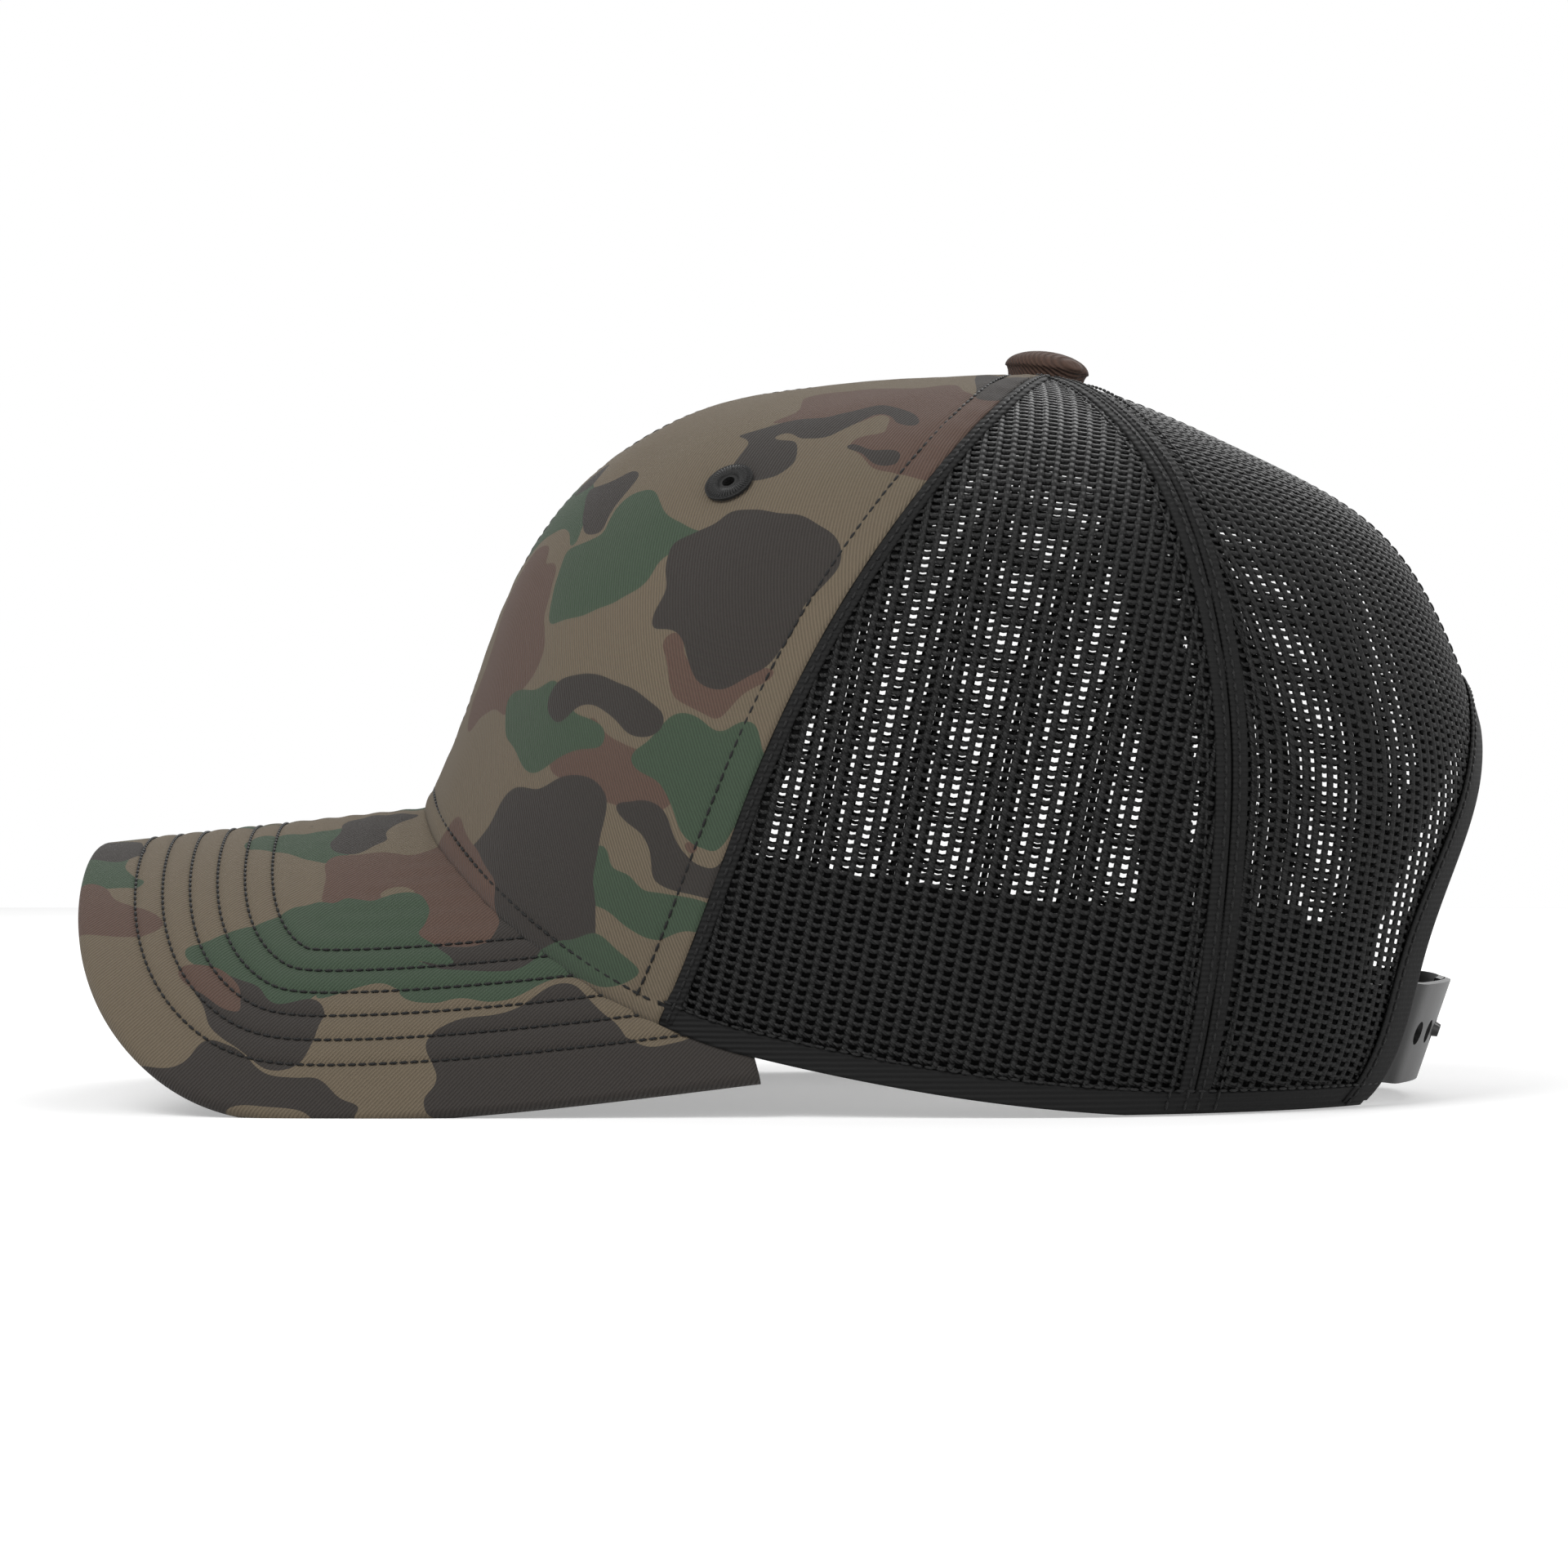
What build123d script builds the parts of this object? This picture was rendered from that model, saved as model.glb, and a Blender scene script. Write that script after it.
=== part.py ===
"""Trucker cap: fabric front panels, mesh side and back panels, a curved visor and a snap strap.

Millimetres, +Z up, visor towards -Y, the wearer's left towards +X. The origin is the centre of
the cap's box, on the surface that the cap stands on. The crown is one surface with two
coordinates: an angle round the head, 0 at the front and 180 at the back, and a climb from 0 at
the hem to 1 under the button. Every layer is a patch of that surface at its own depth.
"""
from build123d import *
import os
from math import asin, cos, degrees, radians, sin, sqrt, tan

# ---- crown -------------------------------------------------------------------------------
CROWN_HALF_WIDTH = 78.2      # hem plan, half width
CROWN_HALF_LENGTH = 89.8     # hem plan, half length
CROWN_CENTRE_Y = 21.7        # hem plan, centre
CROWN_HEIGHT = 132.6         # top of the fabric under the button
BUTTON_Y = 47.2              # where the panels meet
FRONT_BLUNTNESS = 2.6        # superellipse exponent of the hem's front half
BACK_BLUNTNESS = 2.2         # and of its back half
BLUNT_CLIMB = 0.6            # climb at which the blunt front has faded out
HEM_TRIM = 0.6               # cut off level along the back hem
SEAM_GAP = 0.2               # half the gap between two panels
TOP_CLIMB = 0.985            # the panels stop here, round the button's shaft

# Meridian control points, (reach from the button, rise from the hem), for front, side and back.
FRONT_MERIDIAN = [(1, 0), (.965, .09), (.915, .30), (.857, .545), (.755, .765), (.565, .945),
                  (.34, .985), (.12, 1.006), (0, 1)]
SIDE_MERIDIAN = [(1, 0), (1.03, .10), (1.06, .28), (1.06, .50), (.98, .70), (.78, .87),
                 (.48, .97), (.18, 1.003), (0, 1)]
BACK_MERIDIAN = [(1, 0), (1.12, .02), (1.18, .22), (1.31, .42), (1.18, .62), (.985, .80),
                 (.60, .885), (.22, .975), (0, 1)]

# Seam angles from hem to button.
FRONT_SEAM = [61.4, 66.3, 72.9, 82.4, 92.5, 97, 98]
REAR_SEAM = [120.5, 122.4, 123.8, 123.6, 121.5, 119.5, 119]

# ---- layers, as depths below the mesh's outer face ---------------------------------------
MESH_THICKNESS = 1.0
FRONT_PROUD = 0.2            # the fabric stands this far outside the mesh
FABRIC_THICKNESS = 0.8
BUCKRAM_THICKNESS = 0.8
TAPE_THICKNESS = 0.5
TAPE_HALF_WIDTH = 5.2
LAYER_GAP = 0.12
BUCKRAM_CLIMBS = (.03, .93)
FRONT_TAPE_CLIMBS = (.045, .93)
REAR_TAPE_CLIMBS = (.045, .86)
SWEATBAND_HEIGHT = 30.0
SWEATBAND_THICKNESS = 1.0
SWEATBAND_TO_TAB = 5.0       # left free between its end and a strap's tab
SWEATBAND_RISE = 3.0         # above the hem

# ---- visor -------------------------------------------------------------------------------
VISOR_LENGTH = 61.0          # hem to tip, on the centre line
VISOR_HALF_WIDTH = CROWN_HALF_WIDTH
VISOR_CREST = 52.75          # height of the crest at the hem
VISOR_SIDE_DROP = VISOR_CREST + 0.55    # from the crest to the side edge
VISOR_SLOPE = 6.2            # degrees, falling forwards
VISOR_CORNER = 72.0          # crown angle where the visor ends
VISOR_STANDOFF = 0.35        # from the crown's hem line
VISOR_LIFT = 0.35            # crown hem above the visor
VISOR_COVER = 0.8
VISOR_BOARD = 2.0
VISOR_BOARD_INSET = 1.3
VISOR_UNDER_INSET = 1.7
VISOR_INNER_REACH = 0.96     # share of the width that the board and the under cover take
# Outline control points, (share of the half width, share of the way back from the tip).
VISOR_OUTLINE = [(0, 0), (.256, 0), (.588, .002), (.845, .059), (.972, .192), (.996, .379),
                 (1.003, .662), (1.001, .865), (1, 1)]
VISOR_CORNER_BACK = 1.3      # the outline ends this far behind the crown's corner

# ---- back opening and snap strap ---------------------------------------------------------
ARCH_HALF_WIDTH = 42.0
ARCH_TOP = 71.0
ARCH_SPRING = 18.0           # the straight sides end here
BINDING_THICKNESS = 0.35
BINDING_WIDTH = 6.5
BINDING_EDGE = 0.8           # over the cut edge, into the opening
BINDING_CLEARANCE = 0.1      # between the binding and the mesh
BINDING_EDGE_CLEARANCE = 0.12
STRAP_BOTTOM = 3.0
STRAP_HEIGHT = 18.0
STRAP_THICKNESS = 1.1
STRAP_DEPTH = MESH_THICKNESS + BINDING_THICKNESS + 0.35    # outer face of the peg strap
STRAP_GAP = 0.2              # between the two straps
STRAP_ROOT = ARCH_HALF_WIDTH - 0.8      # hinge line, from the middle of the back
STRAP_TIP = 5.0              # past the last peg or hole
TAB_LENGTH = 14.0
HINGE_CLEARANCE = 0.3
HINGE_BEAD = 0.05            # the round root is this much thicker than the strap, each side
PEG_PITCH = 8.0
PEG_COUNT = 7
PEG_MIDDLE = 4               # place of the peg on the centre line
HOLE_SHIFT = 2               # the first hole takes this peg
PEG_BASE_RADIUS = 1.7
PEG_TIP_RADIUS = 1.0
PEG_HEIGHT = 2.4
HOLE_RADIUS = PEG_BASE_RADIUS + 0.5
JOGGLE_START = STRAP_ROOT - 5.7         # where the hole strap steps over the peg strap
JOGGLE_LENGTH = 5.0

# ---- button and eyelets ------------------------------------------------------------------
BUTTON_RADIUS = 7.85
BUTTON_HEIGHT = 5.0
BUTTON_SKIN = 0.7
BUTTON_TILT = 8.0
BUTTON_SEAT = 0.2
SHAFT_RADIUS = 1.3
WASHER_RADIUS = 5.0
WASHER_BORE_CLEARANCE = 0.05
WASHER_THICKNESS = 0.8
WASHER_DEPTH = MESH_THICKNESS + 0.95
SHAFT_LENGTH = WASHER_DEPTH + WASHER_THICKNESS + 0.15
EYELET_ANGLE = 59.3
EYELET_CLIMB = 0.585
EYELET_RADIUS = 4.5
EYELET_TUBE = 2.1
EYELET_HOLE = 1.2
EYELET_FLANGE = 0.5
EYELET_CLEARANCE = 0.25

HEM_FRONT_Y = CROWN_CENTRE_Y - CROWN_HALF_LENGTH
VISOR_ARCH = (VISOR_HALF_WIDTH ** 2 + VISOR_SIDE_DROP ** 2) / (2 * VISOR_SIDE_DROP)
TAPE_DEPTH = MESH_THICKNESS + LAYER_GAP
BUCKRAM_DEPTH = FABRIC_THICKNESS - FRONT_PROUD + LAYER_GAP
FRONT_TAPE_DEPTH = BUCKRAM_DEPTH + BUCKRAM_THICKNESS + LAYER_GAP
SWEATBAND_DEPTH = FRONT_TAPE_DEPTH + TAPE_THICKNESS + LAYER_GAP


def spline(controls, t):
    """Point of a clamped uniform cubic B-spline at t from 0 to 1."""
    spans = len(controls) - 3
    knots = [0] * 3 + [i / spans for i in range(spans + 1)] + [1] * 3
    t = min(max(t, 0), 1 - 1e-9)
    span = 3 + int(t * spans)
    points = [list(controls[span - 3 + i]) for i in range(4)]
    for level in range(1, 4):
        for i in range(3, level - 1, -1):
            low = knots[span - 3 + i]
            share = (t - low) / (knots[span + 1 + i - level] - low)
            points[i] = [(1 - share) * a + share * b for a, b in zip(points[i - 1], points[i])]
    return points[3]


def seam_angle(controls, t):
    return spline([(angle,) for angle in controls], t)[0]


def smooth(share):
    share = min(max(share, 0), 1)
    return share * share * (3 - 2 * share)


def visor_crest(y):
    """Height of the visor's centre line."""
    return VISOR_CREST + tan(radians(VISOR_SLOPE)) * (y - HEM_FRONT_Y)


def visor_surface(roll, y, depth):
    """Point on the visor's arch, roll radians from the crest, depth below its top face."""
    radius = VISOR_ARCH - depth
    return radius * sin(roll), y, visor_crest(y) - VISOR_ARCH + radius * cos(roll)


def hem_plan(angle, climb=0.0):
    """Plan point of the hem; the blunt front fades as the crown climbs."""
    c, s = cos(radians(angle)), sin(radians(angle))
    power = FRONT_BLUNTNESS if c > 0 else BACK_BLUNTNESS
    fade = max(1 - climb / BLUNT_CLIMB, 0) ** 2 if c > 0 else 1
    grow = 1 + fade * ((abs(c) ** power + abs(s) ** power) ** (-1 / power) - 1)
    return CROWN_HALF_WIDTH * s * grow, CROWN_CENTRE_Y - CROWN_HALF_LENGTH * c * grow


def hem_height(angle):
    """On the visor in front, then falling to the surface that the cap stands on."""
    ground_angle = 125.0
    turn = min(abs(angle), VISOR_CORNER)
    x, y = hem_plan(turn)
    height = visor_surface(asin(x / VISOR_ARCH), y, 0)[2] + VISOR_LIFT
    share = min(max((abs(angle) - VISOR_CORNER) / (ground_angle - VISOR_CORNER), 0), 1)
    return height * (1 - share) ** 2 - HEM_TRIM * smooth(share)


def crown(angle, climb):
    """Point on the outer face of the crown."""
    c = cos(radians(angle))
    front, back = max(c, 0) ** 2, max(-c, 0) ** 2
    weights = (front, 1 - front - back, back)
    shapes = [spline(m, climb) for m in (FRONT_MERIDIAN, SIDE_MERIDIAN, BACK_MERIDIAN)]
    reach = sum(w * shape[0] for w, shape in zip(weights, shapes))
    rise = sum(w * shape[1] for w, shape in zip(weights, shapes))
    x, y = hem_plan(angle, climb)
    hem = hem_height(angle)
    return Vector(x * reach, BUTTON_Y + (y - BUTTON_Y) * reach,
                  hem + (CROWN_HEIGHT - hem) * rise)


def crown_normal(angle, climb):
    step = 1e-3
    low = max(climb - step, 0)
    along = crown(angle + .05, climb) - crown(angle - .05, climb)
    up = crown(angle, low + 2 * step) - crown(angle, low)
    return along.cross(up).normalized()


def layer(angle, climb, depth):
    """Point under the crown's outer face."""
    return crown(angle, climb) - crown_normal(angle, climb) * depth


def climb_at(angle, height):
    """Climb at which the crown has this height."""
    low, high = 0.0, 0.6
    for _ in range(30):
        middle = (low + high) / 2
        if crown(angle, middle).Z < height:
            low = middle
        else:
            high = middle
    return (low + high) / 2


def turn_for(angle, climb, width):
    """Degrees round the crown that span this width."""
    radius = (crown(angle + .5, climb) - crown(angle - .5, climb)).length / radians(1)
    return degrees(width / radius)


def patch(place, outer, inner, columns, rows):
    """Closed solid between two depths of a surface; place(u, v, depth) gives a point."""
    skins = []
    for depth in (outer, inner):
        grid = [[Vector(place(u / columns, v / rows, depth)) for v in range(rows + 1)]
                for u in range(columns + 1)]
        skins.append(Face.make_surface_from_array_of_points(grid, tol=.02, min_deg=3, max_deg=3))
    sides = [Face.make_surface_from_curves(a, b) for a, b in zip(skins[0].edges(), skins[1].edges())]
    return Solid(Shell(skins + sides))


def panel(start, end, low, high, outer, inner, columns=24, rows=64):
    """Crown panel between two seams; start and end give an angle, low and high a climb."""
    def place(u, v, depth):
        middle = (start(.5) + end(.5)) / 2
        bottom, top = low(middle), high(middle)
        climb = bottom + (top - bottom) * v
        first, last = start(climb), end(climb)
        angle = first + (last - first) * u
        bottom, top = low(angle), high(angle)
        return layer(angle, bottom + (top - bottom) * v, depth)
    return patch(place, outer, inner, columns, rows)


def seam(controls, offset):
    """Edge beside a seam, offset millimetres towards the back."""
    def edge(climb):
        angle = seam_angle(controls, climb)
        return angle + turn_for(angle, climb, offset)
    return edge


def level(value):
    return lambda angle: value


def seam_strip(controls, low, high, outer):
    return panel(seam(controls, -TAPE_HALF_WIDTH), seam(controls, TAPE_HALF_WIDTH),
                 level(low), level(high), outer, outer + TAPE_THICKNESS, columns=4)


def above_ground(shape):
    """Cuts the back hem level, as the face that the cap stands on."""
    return shape - Pos(0, 0, -50) * Box(600, 600, 100)


def other_side(shape):
    return mirror(shape, Plane.YZ)


def arch(grow):
    """The back opening as a solid that runs through the wall, grown by this much."""
    half = ARCH_HALF_WIDTH + grow
    rise = ARCH_TOP - ARCH_SPRING + grow
    top = Pos(0, 110, ARCH_SPRING) * Rot(90, 0, 0) * extrude(Ellipse(half, rise), 50, both=True)
    return top + Pos(0, 110, ARCH_SPRING / 2 - 5) * Box(2 * half, 100, ARCH_SPRING + 10)


# ---- visor -------------------------------------------------------------------------------
def visor_outer(u):
    share, back = spline(VISOR_OUTLINE, abs(u))
    x = VISOR_HALF_WIDTH * share * (1 if u > 0 else -1)
    tip = HEM_FRONT_Y - VISOR_LENGTH
    end = hem_plan(VISOR_CORNER)[1] + VISOR_CORNER_BACK
    return asin(x / VISOR_ARCH), tip + back * (end - tip)


def visor_inner(u):
    angle = VISOR_CORNER * u
    x, y = hem_plan(angle)
    ahead, behind = hem_plan(angle + .1), hem_plan(angle - .1)
    along = Vector(ahead[0] - behind[0], ahead[1] - behind[1]).normalized()
    return asin((x + along.Y * VISOR_STANDOFF) / VISOR_ARCH), y - along.X * VISOR_STANDOFF


def visor_layer(outer, inner, inset, reach):
    """Visor layer between two depths, inset from the edge, over this share of its width."""
    def place(u, v, depth):
        u = (2 * u - 1) * reach
        (roll_in, y_in), (roll_out, y_out) = visor_inner(u), visor_outer(u)
        length = sqrt(((roll_out - roll_in) * VISOR_ARCH) ** 2 + (y_out - y_in) ** 2)
        v *= 1 - inset / length
        return visor_surface(roll_in + (roll_out - roll_in) * v, y_in + (y_out - y_in) * v, depth)
    return patch(place, outer, inner, 60, 12)


# ---- snap strap --------------------------------------------------------------------------
def strap_angle(along):
    """Crown angle at this distance along the back, from the middle."""
    return 180 - turn_for(180, climb_at(180, STRAP_BOTTOM + STRAP_HEIGHT / 2), along)


def strap_point(along, v, depth):
    angle = strap_angle(along)
    low = crown(angle, climb_at(angle, STRAP_BOTTOM))
    high = crown(angle, climb_at(angle, STRAP_BOTTOM + STRAP_HEIGHT))
    ahead = strap_angle(along - .5)
    side = crown(ahead, climb_at(ahead, STRAP_BOTTOM)) - low
    outward = side.cross(high - low).normalized()
    return low + (high - low) * v - outward * depth


def strap_frame(along, depth):
    """Plane in the strap's face, its normal outwards."""
    middle = strap_point(along, .5, depth)
    return Plane(origin=middle, z_dir=strap_point(along, .5, depth - 1) - middle)


def strap_band(start, end, outer_depth, thickness):
    """Strap from start to end; outer_depth gives the outer face's depth along it."""
    def place(u, v, layer_depth):
        along = start + (end - start) * u
        return strap_point(along, v, outer_depth(along) + layer_depth)
    return patch(place, 0, thickness, 40, 3)


def hinge_bead(root):
    """Round root of a strap, on its hinge line."""
    low = strap_point(root, 0, STRAP_DEPTH + STRAP_THICKNESS / 2)
    high = strap_point(root, 1, STRAP_DEPTH + STRAP_THICKNESS / 2)
    return Solid.make_cylinder(STRAP_THICKNESS / 2 + HINGE_BEAD, (high - low).length,
                               Plane(origin=low, z_dir=high - low))


def tab_start():
    return STRAP_ROOT + STRAP_THICKNESS / 2 + HINGE_BEAD + HINGE_CLEARANCE


def tab(side):
    start, end = tab_start(), tab_start() + TAB_LENGTH
    return strap_band(side * start, side * end, level(STRAP_DEPTH), STRAP_THICKNESS)


def peg_strap():
    places = [(i - PEG_MIDDLE) * PEG_PITCH for i in range(PEG_COUNT)]
    strap = strap_band(-STRAP_ROOT, places[-1] + STRAP_TIP, level(STRAP_DEPTH), STRAP_THICKNESS)
    strap += hinge_bead(-STRAP_ROOT)
    embed = STRAP_THICKNESS / 2
    for along in places:
        foot = strap_frame(along, STRAP_DEPTH + embed)
        strap += foot * Pos(0, 0, (PEG_HEIGHT + embed) / 2) * Cone(
            PEG_BASE_RADIUS, PEG_TIP_RADIUS, PEG_HEIGHT + embed)
    return strap


def hole_strap():
    places = [(i + HOLE_SHIFT - PEG_MIDDLE) * PEG_PITCH for i in range(PEG_COUNT)]
    over = STRAP_DEPTH - STRAP_GAP - STRAP_THICKNESS

    def depth(along):
        return over + (STRAP_DEPTH - over) * smooth((along - JOGGLE_START) / JOGGLE_LENGTH)
    strap = strap_band(STRAP_ROOT, places[0] - STRAP_TIP, depth, STRAP_THICKNESS)
    strap += hinge_bead(STRAP_ROOT)
    for along in places:
        strap -= strap_frame(along, over + STRAP_THICKNESS / 2) * Cylinder(HOLE_RADIUS, 6)
    return strap


# ---- button and eyelets ------------------------------------------------------------------
def dome(radius, height, foot):
    """Solid cushion shape: a rounded foot under an elliptical dome."""
    waist = height * .32
    crest = [(radius * cos(radians(a)), waist + (height - waist) * sin(radians(a))) for a in (0, 30, 60)]
    with BuildPart() as part:
        with BuildSketch(Plane.XZ):
            with BuildLine():
                Line((0, 0), (radius - foot, 0))
                Spline((radius - foot, 0), *crest, (0, height), tangents=((1, 0), (-1, 0)))
                Line((0, height), (0, 0))
            make_face()
        revolve(axis=Axis.Z)
    return part.part


def button_frame():
    return Pos(0, BUTTON_Y, CROWN_HEIGHT + BUTTON_SEAT) * Rot(-BUTTON_TILT, 0, 0)


def button_hollow(clearance):
    """Tapered room inside the fabric cover, or the pressed shell that fills it."""
    height = BUTTON_HEIGHT - 2.4 * BUTTON_SKIN - 2 * clearance
    room = Cone(BUTTON_RADIUS - 1.5 * BUTTON_SKIN - clearance,
                BUTTON_RADIUS - 4 * BUTTON_SKIN - clearance, height)
    return Pos(0, 0, BUTTON_SKIN + clearance + height / 2) * room


def button_parts():
    mouth = Cylinder(SHAFT_RADIUS + 1, 4 * BUTTON_SKIN)
    cover = dome(BUTTON_RADIUS, BUTTON_HEIGHT, 1) - button_hollow(0) - mouth
    shaft = SHAFT_LENGTH + 2 * BUTTON_SKIN
    core = button_hollow(LAYER_GAP) + Pos(0, 0, shaft / 2 - SHAFT_LENGTH) * Cylinder(SHAFT_RADIUS, shaft)
    bore = Cylinder(SHAFT_RADIUS + WASHER_BORE_CLEARANCE, 2 * WASHER_THICKNESS)
    washer = Cylinder(WASHER_RADIUS, WASHER_THICKNESS) - bore
    washer = Pos(0, 0, -WASHER_DEPTH - WASHER_THICKNESS / 2) * washer
    return [button_frame() * shape for shape in (cover, core, washer)]


def eyelet_frame(depth):
    point = layer(EYELET_ANGLE, EYELET_CLIMB, depth)
    return Plane(origin=point, z_dir=crown_normal(EYELET_ANGLE, EYELET_CLIMB))


def eyelet_hole():
    return eyelet_frame(0) * Cylinder(EYELET_TUBE + EYELET_CLEARANCE, 12)


def eyelet():
    outside = -FRONT_PROUD - EYELET_CLEARANCE
    inside = BUCKRAM_DEPTH + BUCKRAM_THICKNESS + EYELET_CLEARANCE
    tube = inside - outside + EYELET_FLANGE
    shape = eyelet_frame((outside + inside) / 2) * Cylinder(EYELET_TUBE, tube)
    for depth in (outside - EYELET_FLANGE / 2, inside + EYELET_FLANGE / 2):
        shape += eyelet_frame(depth) * Cylinder(EYELET_RADIUS, EYELET_FLANGE)
    return shape - eyelet_frame(0) * Cylinder(EYELET_HOLE, 12)


def back_binding():
    """Channel of folded fabric round the edge of the back opening."""
    wide = degrees(asin((ARCH_HALF_WIDTH + BINDING_WIDTH) / CROWN_HALF_WIDTH))
    outer, inner = -BINDING_CLEARANCE, MESH_THICKNESS + BINDING_CLEARANCE
    region = (level(180 - wide), level(180 + wide), level(0), level(.6))
    channel = panel(*region, outer - BINDING_THICKNESS, inner + BINDING_THICKNESS)
    channel = channel & (arch(BINDING_WIDTH) - arch(-BINDING_EDGE))
    larger = (level(178 - wide), level(182 + wide), level(0), level(.65))
    slot = panel(*larger, outer, inner) - arch(-BINDING_EDGE_CLEARANCE)
    return above_ground(channel - slot)


def main():
    centre = seam([0] * 4, SEAM_GAP)
    front_edge = seam(FRONT_SEAM, -SEAM_GAP)
    rear_edge = seam(REAR_SEAM, -SEAM_GAP)
    back_centre = seam([180] * 4, -SEAM_GAP)
    whole = (level(0), level(TOP_CLIMB))
    hole = eyelet_hole()
    opening = arch(0)

    front = panel(centre, front_edge, *whole, -FRONT_PROUD, FABRIC_THICKNESS - FRONT_PROUD) - hole
    buckram = panel(seam([0] * 4, 1), seam(FRONT_SEAM, -TAPE_HALF_WIDTH - 1),
                    level(BUCKRAM_CLIMBS[0]), level(BUCKRAM_CLIMBS[1]),
                    BUCKRAM_DEPTH, BUCKRAM_DEPTH + BUCKRAM_THICKNESS) - hole
    side = panel(seam(FRONT_SEAM, SEAM_GAP), rear_edge, *whole, 0, MESH_THICKNESS)
    back = panel(seam(REAR_SEAM, SEAM_GAP), back_centre, *whole, 0, MESH_THICKNESS)
    back = above_ground(back - opening)
    side = above_ground(side)
    front_tape = seam_strip(FRONT_SEAM, *FRONT_TAPE_CLIMBS, TAPE_DEPTH)
    rear_tape = seam_strip(REAR_SEAM, *REAR_TAPE_CLIMBS, TAPE_DEPTH)
    grommet = eyelet()

    nodes = {
        "front_panel_left": front,
        "front_buckram_left": buckram,
        "side_mesh_panel_left": side,
        "back_mesh_panel_left": back,
        "front_side_seam_tape_left": front_tape,
        "side_back_seam_tape_left": rear_tape,
        "eyelet_left": grommet,
    }
    for name in list(nodes):
        nodes[name.replace("left", "right")] = other_side(nodes[name])
    nodes["centre_front_seam_tape"] = seam_strip([0] * 4, *FRONT_TAPE_CLIMBS, FRONT_TAPE_DEPTH)
    over_opening = climb_at(180, ARCH_TOP + BINDING_WIDTH + 2)
    nodes["centre_back_seam_tape"] = seam_strip([180] * 4, over_opening, FRONT_TAPE_CLIMBS[1], TAPE_DEPTH)

    def band_low(angle):
        return climb_at(angle, hem_height(angle) + SWEATBAND_RISE)

    def band_high(angle):
        return climb_at(angle, hem_height(angle) + SWEATBAND_RISE + SWEATBAND_HEIGHT)
    band_end = strap_angle(tab_start() + TAB_LENGTH + SWEATBAND_TO_TAB)
    nodes["sweatband"] = panel(level(-band_end), level(band_end), band_low, band_high,
                               SWEATBAND_DEPTH, SWEATBAND_DEPTH + SWEATBAND_THICKNESS, 90, 5)

    board_top = VISOR_COVER + LAYER_GAP
    under_top = board_top + VISOR_BOARD + LAYER_GAP
    nodes["visor_top_cover"] = visor_layer(0, VISOR_COVER, 0, 1)
    nodes["visor_board"] = visor_layer(board_top, board_top + VISOR_BOARD, VISOR_BOARD_INSET,
                                        VISOR_INNER_REACH)
    nodes["visor_under_cover"] = visor_layer(under_top, under_top + VISOR_COVER, VISOR_UNDER_INSET,
                                              VISOR_INNER_REACH)

    nodes["back_opening_binding"] = back_binding()
    nodes["peg_strap"] = peg_strap()
    nodes["hole_strap"] = hole_strap()
    nodes["peg_strap_tab"] = tab(-1)
    nodes["hole_strap_tab"] = tab(1)
    for name, shape in zip(("button_cover", "button_core", "button_washer"), button_parts()):
        nodes[name] = shape

    os.makedirs("parts", exist_ok=True)
    for name, shape in nodes.items():
        export_step(shape, f"parts/{name}.step")
    return nodes


if __name__ == "__main__":
    main()
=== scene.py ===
"""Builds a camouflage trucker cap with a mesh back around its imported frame.

The crown is one surface with two coordinates, an angle round the head (0 at the front, 90 on the
wearer's left, 180 at the back) and a climb from 0 at the hem to 1 under the button. Formulas work
in millimetres and meshes are written in metres.
"""
import math

import bpy
import numpy as np
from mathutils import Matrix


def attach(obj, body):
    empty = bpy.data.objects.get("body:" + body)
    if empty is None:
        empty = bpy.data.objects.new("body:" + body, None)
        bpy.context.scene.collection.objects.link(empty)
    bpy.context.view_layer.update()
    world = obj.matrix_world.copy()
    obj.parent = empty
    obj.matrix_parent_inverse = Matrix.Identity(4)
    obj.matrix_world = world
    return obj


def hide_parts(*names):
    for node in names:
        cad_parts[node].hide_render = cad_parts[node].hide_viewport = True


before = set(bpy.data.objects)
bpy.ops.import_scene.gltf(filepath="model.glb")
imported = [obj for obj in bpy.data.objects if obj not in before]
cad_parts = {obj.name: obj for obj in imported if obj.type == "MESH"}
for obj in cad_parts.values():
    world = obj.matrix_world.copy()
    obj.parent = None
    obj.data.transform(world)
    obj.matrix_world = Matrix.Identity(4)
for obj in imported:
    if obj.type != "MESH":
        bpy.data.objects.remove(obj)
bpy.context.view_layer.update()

bl_info = {
    "name": "Mesh-Back Cap Builder",
    "version": (1, 0, 0),
    "blender": (4, 5, 0),
    "location": "View3D > Sidebar > Cap",
    "description": "Builds the fabric, mesh, stitching and fittings of a mesh-back cap on its frame",
    "category": "Object",
}

MM = 0.001

# ---- crown, in millimetres and degrees ----------------------------------------------------
CROWN_HALF_WIDTH = 78.2
CROWN_HALF_LENGTH = 89.8
CROWN_CENTRE_Y = 21.7
CROWN_HEIGHT = 132.6
BUTTON_Y = 47.2
FRONT_BLUNTNESS = 2.6
BACK_BLUNTNESS = 2.2
BLUNT_CLIMB = 0.6
HEM_TRIM = 0.6
GROUND_ANGLE = 125.0
SEAM_GAP = 0.2
FRONT_TUCK = 0.6             # the front panels run this far under the seam
TOP_CLIMB = 0.985
FRONT_MERIDIAN = [(1, 0), (.965, .09), (.915, .30), (.857, .545), (.755, .765), (.565, .945),
                  (.34, .985), (.12, 1.006), (0, 1)]
SIDE_MERIDIAN = [(1, 0), (1.03, .10), (1.06, .28), (1.06, .50), (.98, .70), (.78, .87),
                 (.48, .97), (.18, 1.003), (0, 1)]
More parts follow.
